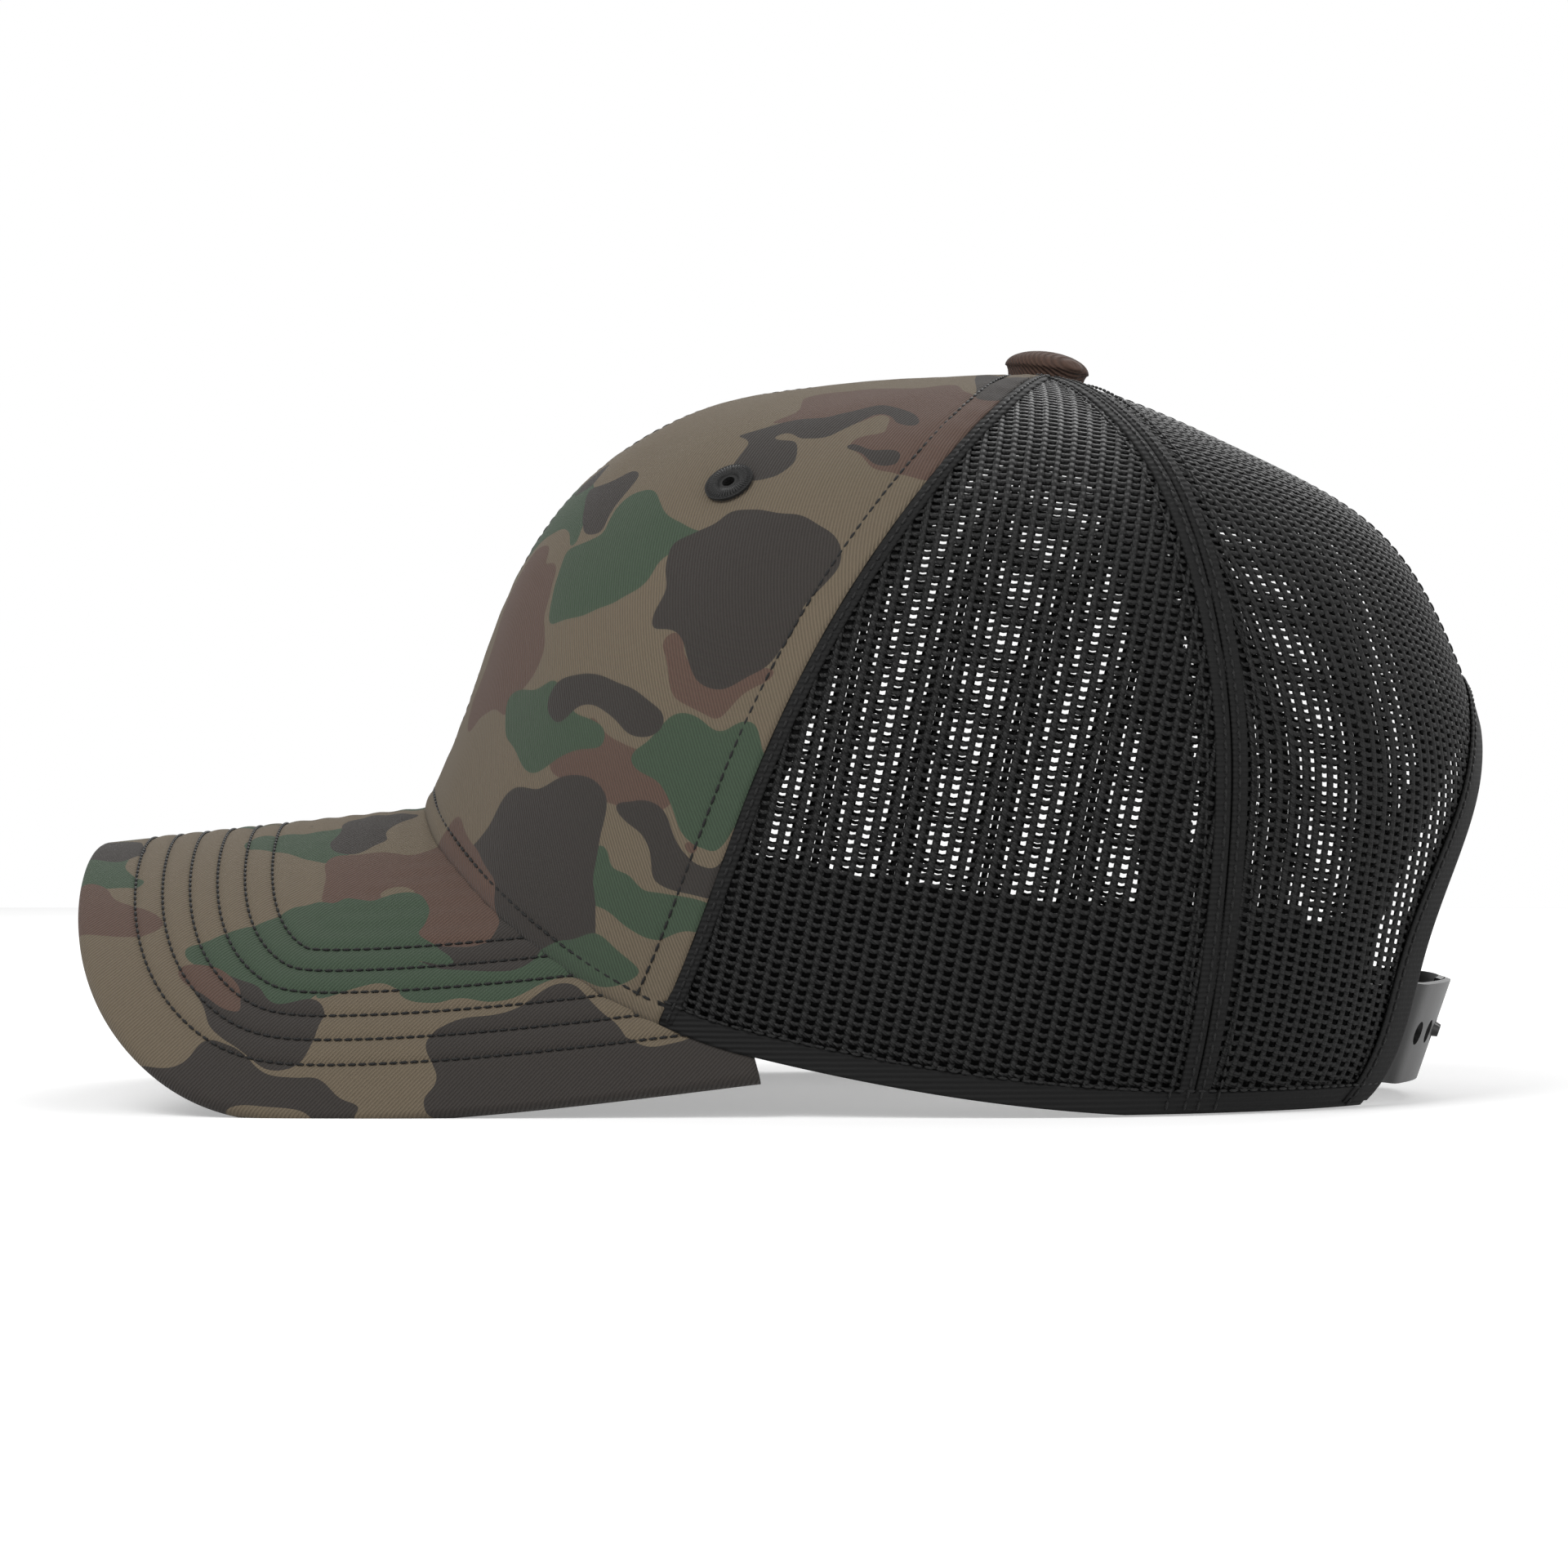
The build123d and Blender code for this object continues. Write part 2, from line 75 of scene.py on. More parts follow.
BACK_MERIDIAN = [(1, 0), (1.12, .02), (1.18, .22), (1.31, .42), (1.18, .62), (.985, .80),
                 (.60, .885), (.22, .975), (0, 1)]
CENTRE_SEAM = [0, 0, 0, 0]
BACK_CENTRE = [180, 180, 180, 180]
FRONT_SEAM = [61.4, 66.3, 72.9, 82.4, 92.5, 97, 98]
REAR_SEAM = [120.5, 122.4, 123.8, 123.6, 121.5, 119.5, 119]

# ---- layers, as depths below the mesh's outer face ----------------------------------------
FRONT_PROUD = 0.2
FABRIC_THICKNESS = 0.8
MESH_THICKNESS = 1.0
SWEATBAND_DEPTH = 2.26
SWEATBAND_THICKNESS = 1.0
SWEATBAND_HEIGHT = 30.0
SWEATBAND_RISE = 3.0
SWEATBAND_END = 143.4
BAND_PROUD = 0.25
BAND_WIDTH = 3.0
HEM_BAND = 4.2

# ---- visor --------------------------------------------------------------------------------
VISOR_LENGTH = 61.0
VISOR_HALF_WIDTH = CROWN_HALF_WIDTH
VISOR_CREST = 52.75
VISOR_SIDE_DROP = VISOR_CREST + 0.55
VISOR_SLOPE = 6.2
VISOR_CORNER = 72.0
VISOR_STANDOFF = -0.4        # tucked under the crown's hem
VISOR_LIFT = 0.35
HEM_DROP = 0.45              # the front hem comes down onto the visor
VISOR_CORNER_BACK = 1.3
VISOR_OUTLINE = [(0, 0), (.256, 0), (.588, .002), (.845, .059), (.972, .192), (.996, .379),
                 (1.003, .662), (1.001, .865), (1, 1)]
VISOR_EDGE_RADIUS = 1.85
VISOR_COVER = 0.8
VISOR_UNDER_DEPTH = 3.04
VISOR_UNDER_INSET = 2.1
VISOR_REACH = 0.96
FIRST_ROW_INSET = 10.2
ROW_STEP = 4.9
ROW_COUNT = 6

# ---- back opening, button, eyelets --------------------------------------------------------
ARCH_HALF_WIDTH = 42.0
ARCH_TOP = 71.0
ARCH_SPRING = 18.0
BINDING_WIDTH = 6.5
BINDING_EDGE = 0.8
BINDING_THICKNESS = 0.35
BINDING_CLEARANCE = 0.1
BUTTON_RADIUS = 7.85
BUTTON_HEIGHT = 5.0
BUTTON_TILT = 8.0
BUTTON_SEAT = 0.2
BUTTON_SKIRT = 1.3           # rolls down over the panels' tips
BUTTON_GATHERS = 6
BUTTON_LIP = 0.9
EYELET_ANGLE = 59.3
EYELET_CLIMB = 0.585
EYELET_HOLE = 2.3
EYELET_RING = 3.0
EYELET_REACH = 3.0

HEM_FRONT_Y = CROWN_CENTRE_Y - CROWN_HALF_LENGTH
VISOR_ARCH = (VISOR_HALF_WIDTH ** 2 + VISOR_SIDE_DROP ** 2) / (2 * VISOR_SIDE_DROP)
FLAT_SPAN = 0.30             # metres of flat mesh fabric that the carrier's square holds
MESH_TUCK = 1.2              # the mesh runs this far past its seams, under the bands

# ---- knit of the mesh, in metres ----------------------------------------------------------
RIB_HALF_WIDTH = 0.00070
RIB_HALF_DEPTH = 0.00042
RIB_SIDES = 6
BAR_HALF_HEIGHT = 0.00052
BAR_HALF_DEPTH = 0.00036
BAR_SIDES = 4
BAR_SAG = 0.00022
BAR_RISE = 0.0001            # the bar's middle stands this much nearer the outer face
UNIT_REACH_ACROSS = (-.0008, .0029)   # how far one unit reaches each way from its place
UNIT_REACH_UP = (-.0010, .0010)
MESH_COLUMNS = 81
MESH_ROWS = 151

# ---- stitching, in millimetres from its seam, hem or edge ---------------------------------
CENTRE_ROW = 3.7
FRONT_EDGE_ROW = -5.2
FRONT_BAND_ROW = 1.8
REAR_ROWS = (-4.8, 4.8, -1.3, 1.3)
BACK_CENTRE_ROW = -4.6
FRONT_HEM_ROW = 3.6
MESH_HEM_ROW = 4.6
BINDING_ROW = 1.4
CENTRE_PUCKER = 3.5
FRONT_EDGE_PUCKER = 5.6
THREAD_PROUD = 0.06
THREAD_ON_BAND = BAND_PROUD + 0.08
THREAD_ON_HEM = BAND_PROUD + 0.05
STITCH_HALF_SHARE = 0.46     # half a stitch as a share of its pitch
EYELET_STITCH_PITCH = 0.00042
EYELET_STITCH_PROUD = 0.62

# ---- studio, in metres --------------------------------------------------------------------
FLOOR_REACH = 1.5
FLOOR_LEVEL = -.0004
PLAIN_LEVEL = .36            # light from the floor and the world on the object
LIGHTS = (("key", (1.0, -.7, 1.25), 17), ("fill", (1.1, .8, .5), 5), ("back", (-1.0, .4, 1.1), 10))
LIGHT_SIZE = 1.0
LIGHT_TARGET = (0, 0, .06)
CAMERA_PLACE = (1.0, -.0016, .0572)
CAMERA_LENS = 123.1
CAMERA_SENSOR = 36


# ---- formulas -----------------------------------------------------------------------------
def spline(controls, t):
    """Points of a clamped uniform cubic B-spline."""
    controls = np.asarray(controls, float)
    if controls.ndim == 1:
        controls = controls[:, None]
    spans = len(controls) - 3
    knots = np.concatenate(([0] * 3, np.linspace(0, 1, spans + 1), [1] * 3))
    t = np.clip(np.asarray(t, float), 0, 1 - 1e-9)
    span = 3 + (t * spans).astype(int)
    points = [controls[span - 3 + i] for i in range(4)]
    for level in range(1, 4):
        for i in range(3, level - 1, -1):
            low = knots[span - 3 + i]
            share = ((t - low) / (knots[span + 1 + i - level] - low))[..., None]
            points[i] = (1 - share) * points[i - 1] + share * points[i]
    return points[3]


def smooth(share):
    """Ease in and out from 0 to 1."""
    share = np.clip(share, 0, 1)
    return share * share * (3 - 2 * share)


def ridge(distance, place, width):
    """Bell shaped bump along a line at this distance."""
    return np.exp(-((distance - place) / width) ** 2)


def hem_plan(angle, climb=0.0):
    """x and y of the crown's plan, whose blunt front fades out as it climbs."""
    c = np.cos(np.radians(angle))
    s = np.sin(np.radians(angle))
    ahead = c > 0
    power = np.where(ahead, FRONT_BLUNTNESS, BACK_BLUNTNESS)
    fade = np.where(ahead, np.maximum(1 - climb / BLUNT_CLIMB, 0) ** 2, 1)
    blunt = (np.abs(c) ** power + np.abs(s) ** power) ** (-1 / power)
    grow = 1 + fade * (blunt - 1)
    return CROWN_HALF_WIDTH * s * grow, CROWN_CENTRE_Y - CROWN_HALF_LENGTH * c * grow


def visor_point(roll, y, depth):
    """Point of the visor's arch at this roll, at a depth under its top."""
    radius = VISOR_ARCH - depth
    crest = VISOR_CREST + math.tan(math.radians(VISOR_SLOPE)) * (y - HEM_FRONT_Y)
    return np.stack([radius * np.sin(roll), y + 0 * roll, crest - VISOR_ARCH + radius * np.cos(roll)], -1)


def hem_height(angle):
    """Height of the hem, on the visor in front and down to the ground behind."""
    x, y = hem_plan(np.minimum(np.abs(angle), VISOR_CORNER))
    height = visor_point(np.arcsin(x / VISOR_ARCH), y, 0)[..., 2] + VISOR_LIFT
    share = np.clip((np.abs(angle) - VISOR_CORNER) / (GROUND_ANGLE - VISOR_CORNER), 0, 1)
    return height * (1 - share) ** 2 - HEM_TRIM * smooth(share)


def crown(angle, climb):
    """Points of the crown's outer face, blended from three meridians."""
    angle, climb = np.broadcast_arrays(np.asarray(angle, float), np.asarray(climb, float))
    c = np.cos(np.radians(angle))
    front = np.maximum(c, 0) ** 2
    back = np.maximum(-c, 0) ** 2
    shape = (front[..., None] * spline(FRONT_MERIDIAN, climb)
             + (1 - front - back)[..., None] * spline(SIDE_MERIDIAN, climb)
             + back[..., None] * spline(BACK_MERIDIAN, climb))
    x, y = hem_plan(angle, climb)
    hem = hem_height(angle)
    return np.stack([x * shape[..., 0], BUTTON_Y + (y - BUTTON_Y) * shape[..., 0],
                     hem + (CROWN_HEIGHT - hem) * shape[..., 1]], -1)


def unit(vectors):
    return vectors / np.maximum(np.linalg.norm(vectors, axis=-1, keepdims=True), 1e-12)


def crown_normal(angle, climb):
    low = np.maximum(np.asarray(climb, float) - 1e-3, 0)
    along = crown(np.asarray(angle) + .05, climb) - crown(np.asarray(angle) - .05, climb)
    up = crown(angle, low + 2e-3) - crown(angle, low)
    return unit(np.cross(along, up))


def layer(angle, climb, depth):
    """Points under the crown's outer face; a negative depth stands proud of it."""
    return crown(angle, climb) - crown_normal(angle, climb) * np.asarray(depth)[..., None]


def climb_at(angle, height):
    """Climb at which the crown has this height."""
    angle = np.asarray(angle, float)
    low = np.zeros_like(angle)
    high = np.full_like(angle, .6)
    for _ in range(28):
        middle = (low + high) / 2
        under = crown(angle, middle)[..., 2] < height
        low = np.where(under, middle, low)
        high = np.where(under, high, middle)
    return (low + high) / 2


def turn_for(angle, climb, width):
    """Degrees round the crown that span this width."""
    step = crown(angle + .5, climb) - crown(angle - .5, climb)
    return np.degrees(width / (np.linalg.norm(step, axis=-1) / math.radians(1)))


def beside(controls, climb, offset):
    """Angle beside a seam, offset millimetres towards the back."""
    angle = spline(controls, climb)[..., 0]
    return angle + turn_for(angle, climb, offset)


def back_place(x, z):
    """Angle and climb of the point on the crown's back that has this x and z."""
    angle = 180 - np.degrees(x / 92)
    climb = np.clip(z / 220, .001, .9)
    for _ in range(14):
        here = crown(angle, climb)
        d_angle = (crown(angle + .05, climb) - here) / .05
        d_climb = (crown(angle, climb + 1e-3) - here) / 1e-3
        miss_x = x - here[..., 0]
        miss_z = z - here[..., 2]
        area = d_angle[..., 0] * d_climb[..., 2] - d_climb[..., 0] * d_angle[..., 2]
        angle = angle + (miss_x * d_climb[..., 2] - miss_z * d_climb[..., 0]) / area
        climb = np.clip(climb + (miss_z * d_angle[..., 0] - miss_x * d_angle[..., 2]) / area, 0, .95)
    return angle, climb


def visor_outline(u):
    """Outer edge of the visor on its unrolled arch."""
    share = spline(VISOR_OUTLINE, np.abs(u))
    x = np.clip(VISOR_HALF_WIDTH * share[..., 0], 0, VISOR_ARCH) * np.sign(u)
    tip = HEM_FRONT_Y - VISOR_LENGTH
    end = hem_plan(VISOR_CORNER)[1] + VISOR_CORNER_BACK
    return np.stack([np.arcsin(x / VISOR_ARCH) * VISOR_ARCH, tip + share[..., 1] * (end - tip)], -1)


def visor_hem(u):
    """Inner edge of the visor, just clear of the crown."""
    angle = VISOR_CORNER * u
    x, y = hem_plan(angle)
    ahead = np.stack(hem_plan(angle + .1), -1)
    behind = np.stack(hem_plan(angle - .1), -1)
    along = unit(ahead - behind)
    x = x + along[..., 1] * VISOR_STANDOFF
    return np.stack([np.arcsin(x / VISOR_ARCH) * VISOR_ARCH, y - along[..., 0] * VISOR_STANDOFF], -1)


def distance_to(points, line):
    """Shortest way from each point to a dense line."""
    flat = points.reshape(-1, 2)
    best = np.full(len(flat), 1e9)
    for start in range(0, len(line), 50):
        gap = flat[:, None] - line[None, start:start + 50]
        best = np.minimum(best, np.sqrt((gap ** 2).sum(-1)).min(1))
    return best.reshape(points.shape[:-1])


# ---- meshes -------------------------------------------------------------------------------
def mirrored(grid):
    """The same grid on the wearer's other side, with its faces still outwards."""
    other = grid[::-1].copy()
    other[..., 0] *= -1
    return other


def make_object(name, points, faces, edges=()):
    mesh = bpy.data.meshes.new(name)
    mesh.from_pydata([tuple(p) for p in points], [tuple(e) for e in edges], [tuple(f) for f in faces])
    mesh.validate()
    mesh.polygons.foreach_set("use_smooth", [True] * len(mesh.polygons))
    piece = bpy.data.objects.new(name, mesh)
    bpy.context.scene.collection.objects.link(piece)
    return piece


def sheet_shell(name, outer, inner, keep=None, cloth=None):
    """Closed sheet between two grids of points, without the cells that keep leaves out.

    cloth is a grid of flat cloth coordinates in millimetres, for a weave that follows the sheet.
    """
    rows, columns = outer.shape[:2]
    count = rows * columns
    index = np.arange(count).reshape(rows, columns)
    quads = np.stack([index[:-1, :-1], index[1:, :-1], index[1:, 1:], index[:-1, 1:]], -1)
    quads = quads.reshape(-1, 4) if keep is None else quads[keep]
    borders = np.concatenate([quads[:, [i, (i + 1) % 4]] for i in range(4)])
    ahead = borders[:, 0] * count + borders[:, 1]
    behind = borders[:, 1] * count + borders[:, 0]
    rim = borders[~np.isin(ahead, behind)]
    walls = np.stack([rim[:, 1], rim[:, 0], rim[:, 0] + count, rim[:, 1] + count], -1)
    faces = np.concatenate([quads, quads[:, ::-1] + count, walls])
    points = np.concatenate([outer.reshape(-1, 3), inner.reshape(-1, 3)]) * MM
    used = np.unique(faces)
    renumber = np.zeros(len(points), int)
    renumber[used] = np.arange(len(used))
    piece = make_object(name, points[used], renumber[faces].tolist())
    if cloth is not None:
        flat = np.pad(cloth.reshape(-1, 2), ((0, 0), (0, 1)))
        store_vectors(piece, "cloth", np.concatenate([flat, flat])[used])
    return piece


def lathe(name, profile, place, ripple=None, segments=96):
    """Closed turned shape from (radius, height) points, first and last on the axis."""
    rings = profile[1:-1]
    turns = np.arange(segments) * 2 * math.pi / segments
    points = [place(np.array([0, 0, profile[0][1]]))]
    for radius, height in rings:
        grow = 1 if ripple is None else ripple(turns, radius)
        ring = np.stack([radius * grow * np.cos(turns), radius * grow * np.sin(turns),
                         np.full(segments, height)], -1)
        points.extend(place(ring))
    points.append(place(np.array([0, 0, profile[-1][1]])))
    faces = []
    for j in range(segments):
        k = (j + 1) % segments
        faces.append((0, 1 + k, 1 + j))
        for ring in range(len(rings) - 1):
            base = 1 + ring * segments
            faces.append((base + j, base + k, base + segments + k, base + segments + j))
        base = 1 + (len(rings) - 1) * segments
        faces.append((base + j, base + k, len(points) - 1))
    return make_object(name, np.array(points) * MM, faces)


def store_vectors(piece, name, values):
    attribute = piece.data.attributes.new(name, "FLOAT_VECTOR", "POINT")
    attribute.data.foreach_set("vector", np.asarray(values, float).reshape(-1))


def settle(piece, material, body, slot, *nodes):
    """Gives a finished piece its material and its body, and hides the frame's nodes that it stands for."""
    piece.data.materials.clear()
    piece.data.materials.append(material)
    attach(piece, body)
    if nodes:
        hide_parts(*nodes)
    return piece


# ---- geometry node trees ------------------------------------------------------------------
class Tree:
    """Small helper that adds nodes and links to a geometry node tree."""

    def __init__(self, name, inputs):
        self.group = bpy.data.node_groups.new(name, "GeometryNodeTree")
        interface = self.group.interface
        interface.new_socket("Geometry", in_out="INPUT", socket_type="NodeSocketGeometry")
        for label, kind in inputs:
            interface.new_socket(label, in_out="INPUT", socket_type="NodeSocket" + kind)
        interface.new_socket("Geometry", in_out="OUTPUT", socket_type="NodeSocketGeometry")
        self.start = self.group.nodes.new("NodeGroupInput")
        self.end = self.group.nodes.new("NodeGroupOutput")

    def add(self, kind, links=(), **settings):
        node = self.group.nodes.new(kind)
        for key, value in settings.items():
            setattr(node, key, value)
        for socket, value in dict(links).items():
            self.feed(node.inputs[socket], value)
        return node

    def feed(self, socket, value):
        if isinstance(value, bpy.types.NodeSocket):
            self.group.links.new(value, socket)
        else:
            socket.default_value = value

    def math(self, operation, first, second=0.0):
        node = self.add("ShaderNodeMath", {0: first, 1: second}, operation=operation)
        return node.outputs[0]

    def vector(self, operation, first, second=(0, 0, 0)):
        node = self.add("ShaderNodeVectorMath", {0: first, 1: second}, operation=operation)
        return node.outputs[0]

    def attribute(self, name):
        node = self.add("GeometryNodeInputNamedAttribute", {"Name": name}, data_type="FLOAT_VECTOR")
        return node.outputs[0]

    def finish(self, geometry, material):
        painted = self.add("GeometryNodeSetMaterial", {"Geometry": geometry, "Material": material})
        self.group.links.new(painted.outputs[0], self.end.inputs[0])
        return self.group


def stitch_tree():
    """Lays one rounded stitch at each step along a line, by its outward and lay directions."""
    tree = Tree("stitches", [("Pitch", "Float"), ("Stitch Size", "Vector"), ("Thread", "Material")])
    curve = tree.add("GeometryNodeMeshToCurve", {"Mesh": tree.start.outputs["Geometry"]})
    spaced = tree.add("GeometryNodeResampleCurve",
                      {"Curve": curve.outputs[0], "Length": tree.start.outputs["Pitch"]}, mode="LENGTH")
    turn = tree.add("FunctionNodeAxesToRotation",
                    {"Primary Axis": tree.attribute("outward"), "Secondary Axis": tree.attribute("lay")},
                    primary_axis="Z", secondary_axis="X")
    ball = tree.add("GeometryNodeMeshUVSphere", {"Segments": 6, "Rings": 5, "Radius": 1.0})
    laid = tree.add("GeometryNodeInstanceOnPoints",
                    {"Points": spaced.outputs[0], "Instance": ball.outputs["Mesh"],
                     "Rotation": turn.outputs[0], "Scale": tree.start.outputs["Stitch Size"]})
    real = tree.add("GeometryNodeRealizeInstances", {"Geometry": laid.outputs[0]})
    soft = tree.add("GeometryNodeSetShadeSmooth", {"Geometry": real.outputs[0], "Shade Smooth": True})
    return tree.finish(soft.outputs[0], tree.start.outputs["Thread"])


def mesh_fabric_tree():
    """Lays knitted units in stepped columns on flat cloth, then drapes it over the carrier."""
    tree = Tree("mesh fabric", [("Unit", "Object"), ("Column Pitch", "Float"), ("Row Pitch", "Float"),
                                ("Column Step", "Float"), ("Columns", "Int"), ("Rows", "Int"),
                                ("Yarn", "Material")])
    given = tree.start.outputs
    width = tree.math("MULTIPLY", tree.math("SUBTRACT", given["Columns"], 1.0), given["Column Pitch"])
    height = tree.math("MULTIPLY", tree.math("SUBTRACT", given["Rows"], 1.0), given["Row Pitch"])
    grid = tree.add("GeometryNodeMeshGrid", {"Size X": width, "Size Y": height,
                                             "Vertices X": given["Columns"], "Vertices Y": given["Rows"]})
    place = tree.add("ShaderNodeSeparateXYZ", {0: tree.add("GeometryNodeInputPosition").outputs[0]})
    column = tree.math("ROUND", tree.math("DIVIDE", place.outputs[0], given["Column Pitch"]))
    pair = tree.math("FLOOR", tree.math("DIVIDE", column, 2.0))
    share = tree.math("FLOORED_MODULO", tree.math("MULTIPLY", pair, given["Column Step"]), 1.0)
    lift = tree.add("ShaderNodeCombineXYZ", {1: tree.math("MULTIPLY", share, given["Row Pitch"])})
    stepped = tree.add("GeometryNodeSetPosition",
                       {"Geometry": grid.outputs["Mesh"], "Offset": lift.outputs[0]})

    def sample(field, shift=(0, 0, 0)):
        here = tree.vector("ADD", tree.add("GeometryNodeInputPosition").outputs[0], shift)
        flat = tree.vector("MULTIPLY_ADD", here, (1 / FLAT_SPAN, 1 / FLAT_SPAN, 0))
        flat.node.inputs[2].default_value = (.5, .5, 0)
        return tree.add("GeometryNodeSampleUVSurface",
                        {"Mesh": given["Geometry"], "Value": field, "UV Map": tree.attribute("flat"),
                         "Sample UV": flat}, data_type="FLOAT_VECTOR")

    def trimmed(geometry, shift=(0, 0, 0)):
        probe = sample(tree.attribute("outward"), shift)
        outside = tree.add("FunctionNodeBooleanMath", {0: probe.outputs["Is Valid"]}, operation="NOT")
        return tree.add("GeometryNodeDeleteGeometry",
                        {"Geometry": geometry, "Selection": outside.outputs[0]}).outputs[0]

    places = stepped.outputs[0]
    for shift_x in UNIT_REACH_ACROSS:
        for shift_y in UNIT_REACH_UP:
            places = trimmed(places, (shift_x, shift_y, 0))

    shape = tree.add("GeometryNodeObjectInfo", {"Object": given["Unit"]}, transform_space="ORIGINAL")
    laid = tree.add("GeometryNodeInstanceOnPoints",
                    {"Points": places, "Instance": shape.outputs["Geometry"]})
    real = trimmed(tree.add("GeometryNodeRealizeInstances", {"Geometry": laid.outputs[0]}).outputs[0])
    thick = tree.add("ShaderNodeSeparateXYZ", {0: tree.add("GeometryNodeInputPosition").outputs[0]})
    rise = tree.add("ShaderNodeVectorMath", {0: sample(tree.attribute("outward")).outputs["Value"]},
                    operation="SCALE")
    tree.feed(rise.inputs["Scale"], thick.outputs[2])
    ground = sample(tree.add("GeometryNodeInputPosition").outputs[0]).outputs["Value"]
    draped = tree.add("GeometryNodeSetPosition",
                      {"Geometry": real, "Position": tree.vector("ADD", ground, rise.outputs[0])})
    soft = tree.add("GeometryNodeSetShadeSmooth", {"Geometry": draped.outputs[0], "Shade Smooth": True})
    return tree.finish(soft.outputs[0], given["Yarn"])


def grown(source, tree, name, values):
    """Plain mesh object from a tree run on a source object, which is then removed."""
    modifier = source.modifiers.new("Build", "NODES")
    modifier.node_group = tree
    for item in tree.interface.items_tree:
        if item.in_out == "INPUT" and item.name in values:
            modifier[item.identifier] = values[item.name]
    bpy.context.view_layer.update()
    ready = source.evaluated_get(bpy.context.evaluated_depsgraph_get())
    mesh = bpy.data.meshes.new_from_object(ready)
    mesh.name = name
    source.modifiers.clear()
    bpy.data.objects.remove(source)
    if not mesh.polygons:
        raise RuntimeError(name + " came out empty")
    piece = bpy.data.objects.new(name, mesh)
    bpy.context.scene.collection.objects.link(piece)
    return piece


def stitch_rows(name, rows, pitch, size, material, body, radial=False):
    """Stitching along several lines of (points, outward) in millimetres."""
    points, edges, outwards, lays = [], [], [], []
    for line, outward in rows:
        start = len(points)
        points.extend(line * MM)
        edges.extend((start + i, start + i + 1) for i in range(len(line) - 1))
        outwards.extend(outward)
        along = unit(np.gradient(line, axis=0))
        lays.extend(np.cross(outward, along) if radial else along)
    source = make_object(name + "_line", np.array(points), [], edges)
    store_vectors(source, "outward", outwards)
    store_vectors(source, "lay", lays)
    values = {"Pitch": pitch, "Stitch Size": size, "Thread": material}
    piece = grown(source, bpy.data.node_groups["stitches"], name, values)
    return settle(piece, material, body, "thread")


# ---- materials ----------------------------------------------------------------------------
class Paint:
    """Small helper that builds one procedural material."""

    def __init__(self, name, roughness=0.8, sheen=0.0):
        self.material = bpy.data.materials.new(name)
        self.material.use_nodes = True
        self.tree = self.material.node_tree
        self.shader = self.tree.nodes["Principled BSDF"]
        self.shader.inputs["Roughness"].default_value = roughness
        self.shader.inputs["Sheen Weight"].default_value = sheen
        self.shader.inputs["Specular IOR Level"].default_value = 0.25
        space = self.tree.nodes.new("ShaderNodeTexCoord")
        scale = self.tree.nodes.new("ShaderNodeMapping")
        scale.inputs["Scale"].default_value = (1000, 1000, 1000)
        self.tree.links.new(space.outputs["Object"], scale.inputs["Vector"])
        self.place = scale.outputs[0]

    def add(self, kind, links=(), **settings):
        node = self.tree.nodes.new(kind)
        for key, value in settings.items():
            setattr(node, key, value)
        for socket, value in dict(links).items():
            if isinstance(value, bpy.types.NodeSocket):
                self.tree.links.new(value, node.inputs[socket])
            else:
                node.inputs[socket].default_value = value
        return node

    def math(self, operation, first, second=0.0, third=0.0):
        return self.add("ShaderNodeMath", {0: first, 1: second, 2: third}, operation=operation).outputs[0]

    def noise(self, scale, detail=2.0, place=None):
        return self.add("ShaderNodeTexNoise", {"Vector": place or self.place, "Scale": scale,
                                               "Detail": detail})

    def wave(self, scale, direction="DIAGONAL", distortion=0.0):
        links = {"Vector": self.place, "Scale": scale, "Distortion": distortion}
        return self.add("ShaderNodeTexWave", links, bands_direction=direction).outputs[1]

    def over(self, factor, below, above):
        node = self.add("ShaderNodeMix", {0: factor}, data_type="RGBA")
        for socket, value in ((node.inputs[6], below), (node.inputs[7], above)):
            if isinstance(value, bpy.types.NodeSocket):
                self.tree.links.new(value, socket)
            else:
                socket.default_value = (*value, 1)
        return node.outputs[2]

    def with_painted_shade(self, colour, height, darkest):
        """Painted shade: colour darkened where the relief is low, such as in the weave's valleys, standing
        in for the shade there.
        """
        factor = self.add("ShaderNodeMapRange", {0: height, 3: darkest, 4: 1.0}).outputs[0]
        grey = self.add("ShaderNodeCombineColor", {0: factor, 1: factor, 2: factor}).outputs[0]
        node = self.add("ShaderNodeMix", {0: 1.0}, data_type="RGBA", blend_type="MULTIPLY")
        if isinstance(colour, bpy.types.NodeSocket):
            self.tree.links.new(colour, node.inputs[6])
        else:
            node.inputs[6].default_value = (*colour, 1)
        self.tree.links.new(grey, node.inputs[7])
        return node.outputs[2]

    def finish(self, colour, height, bump):
        relief = self.add("ShaderNodeBump", {"Strength": bump, "Distance": 0.0003, "Height": height})
        self.tree.links.new(relief.outputs[0], self.shader.inputs["Normal"])
        self.tree.links.new(colour, self.shader.inputs["Base Color"])
        return self.material


def linear(code):
    """Linear colour from a hex code."""
    parts = [int(code[i:i + 2], 16) / 255 for i in (0, 2, 4)]
    return tuple(p / 12.92 if p <= .04045 else ((p + .055) / 1.055) ** 2.4 for p in parts)


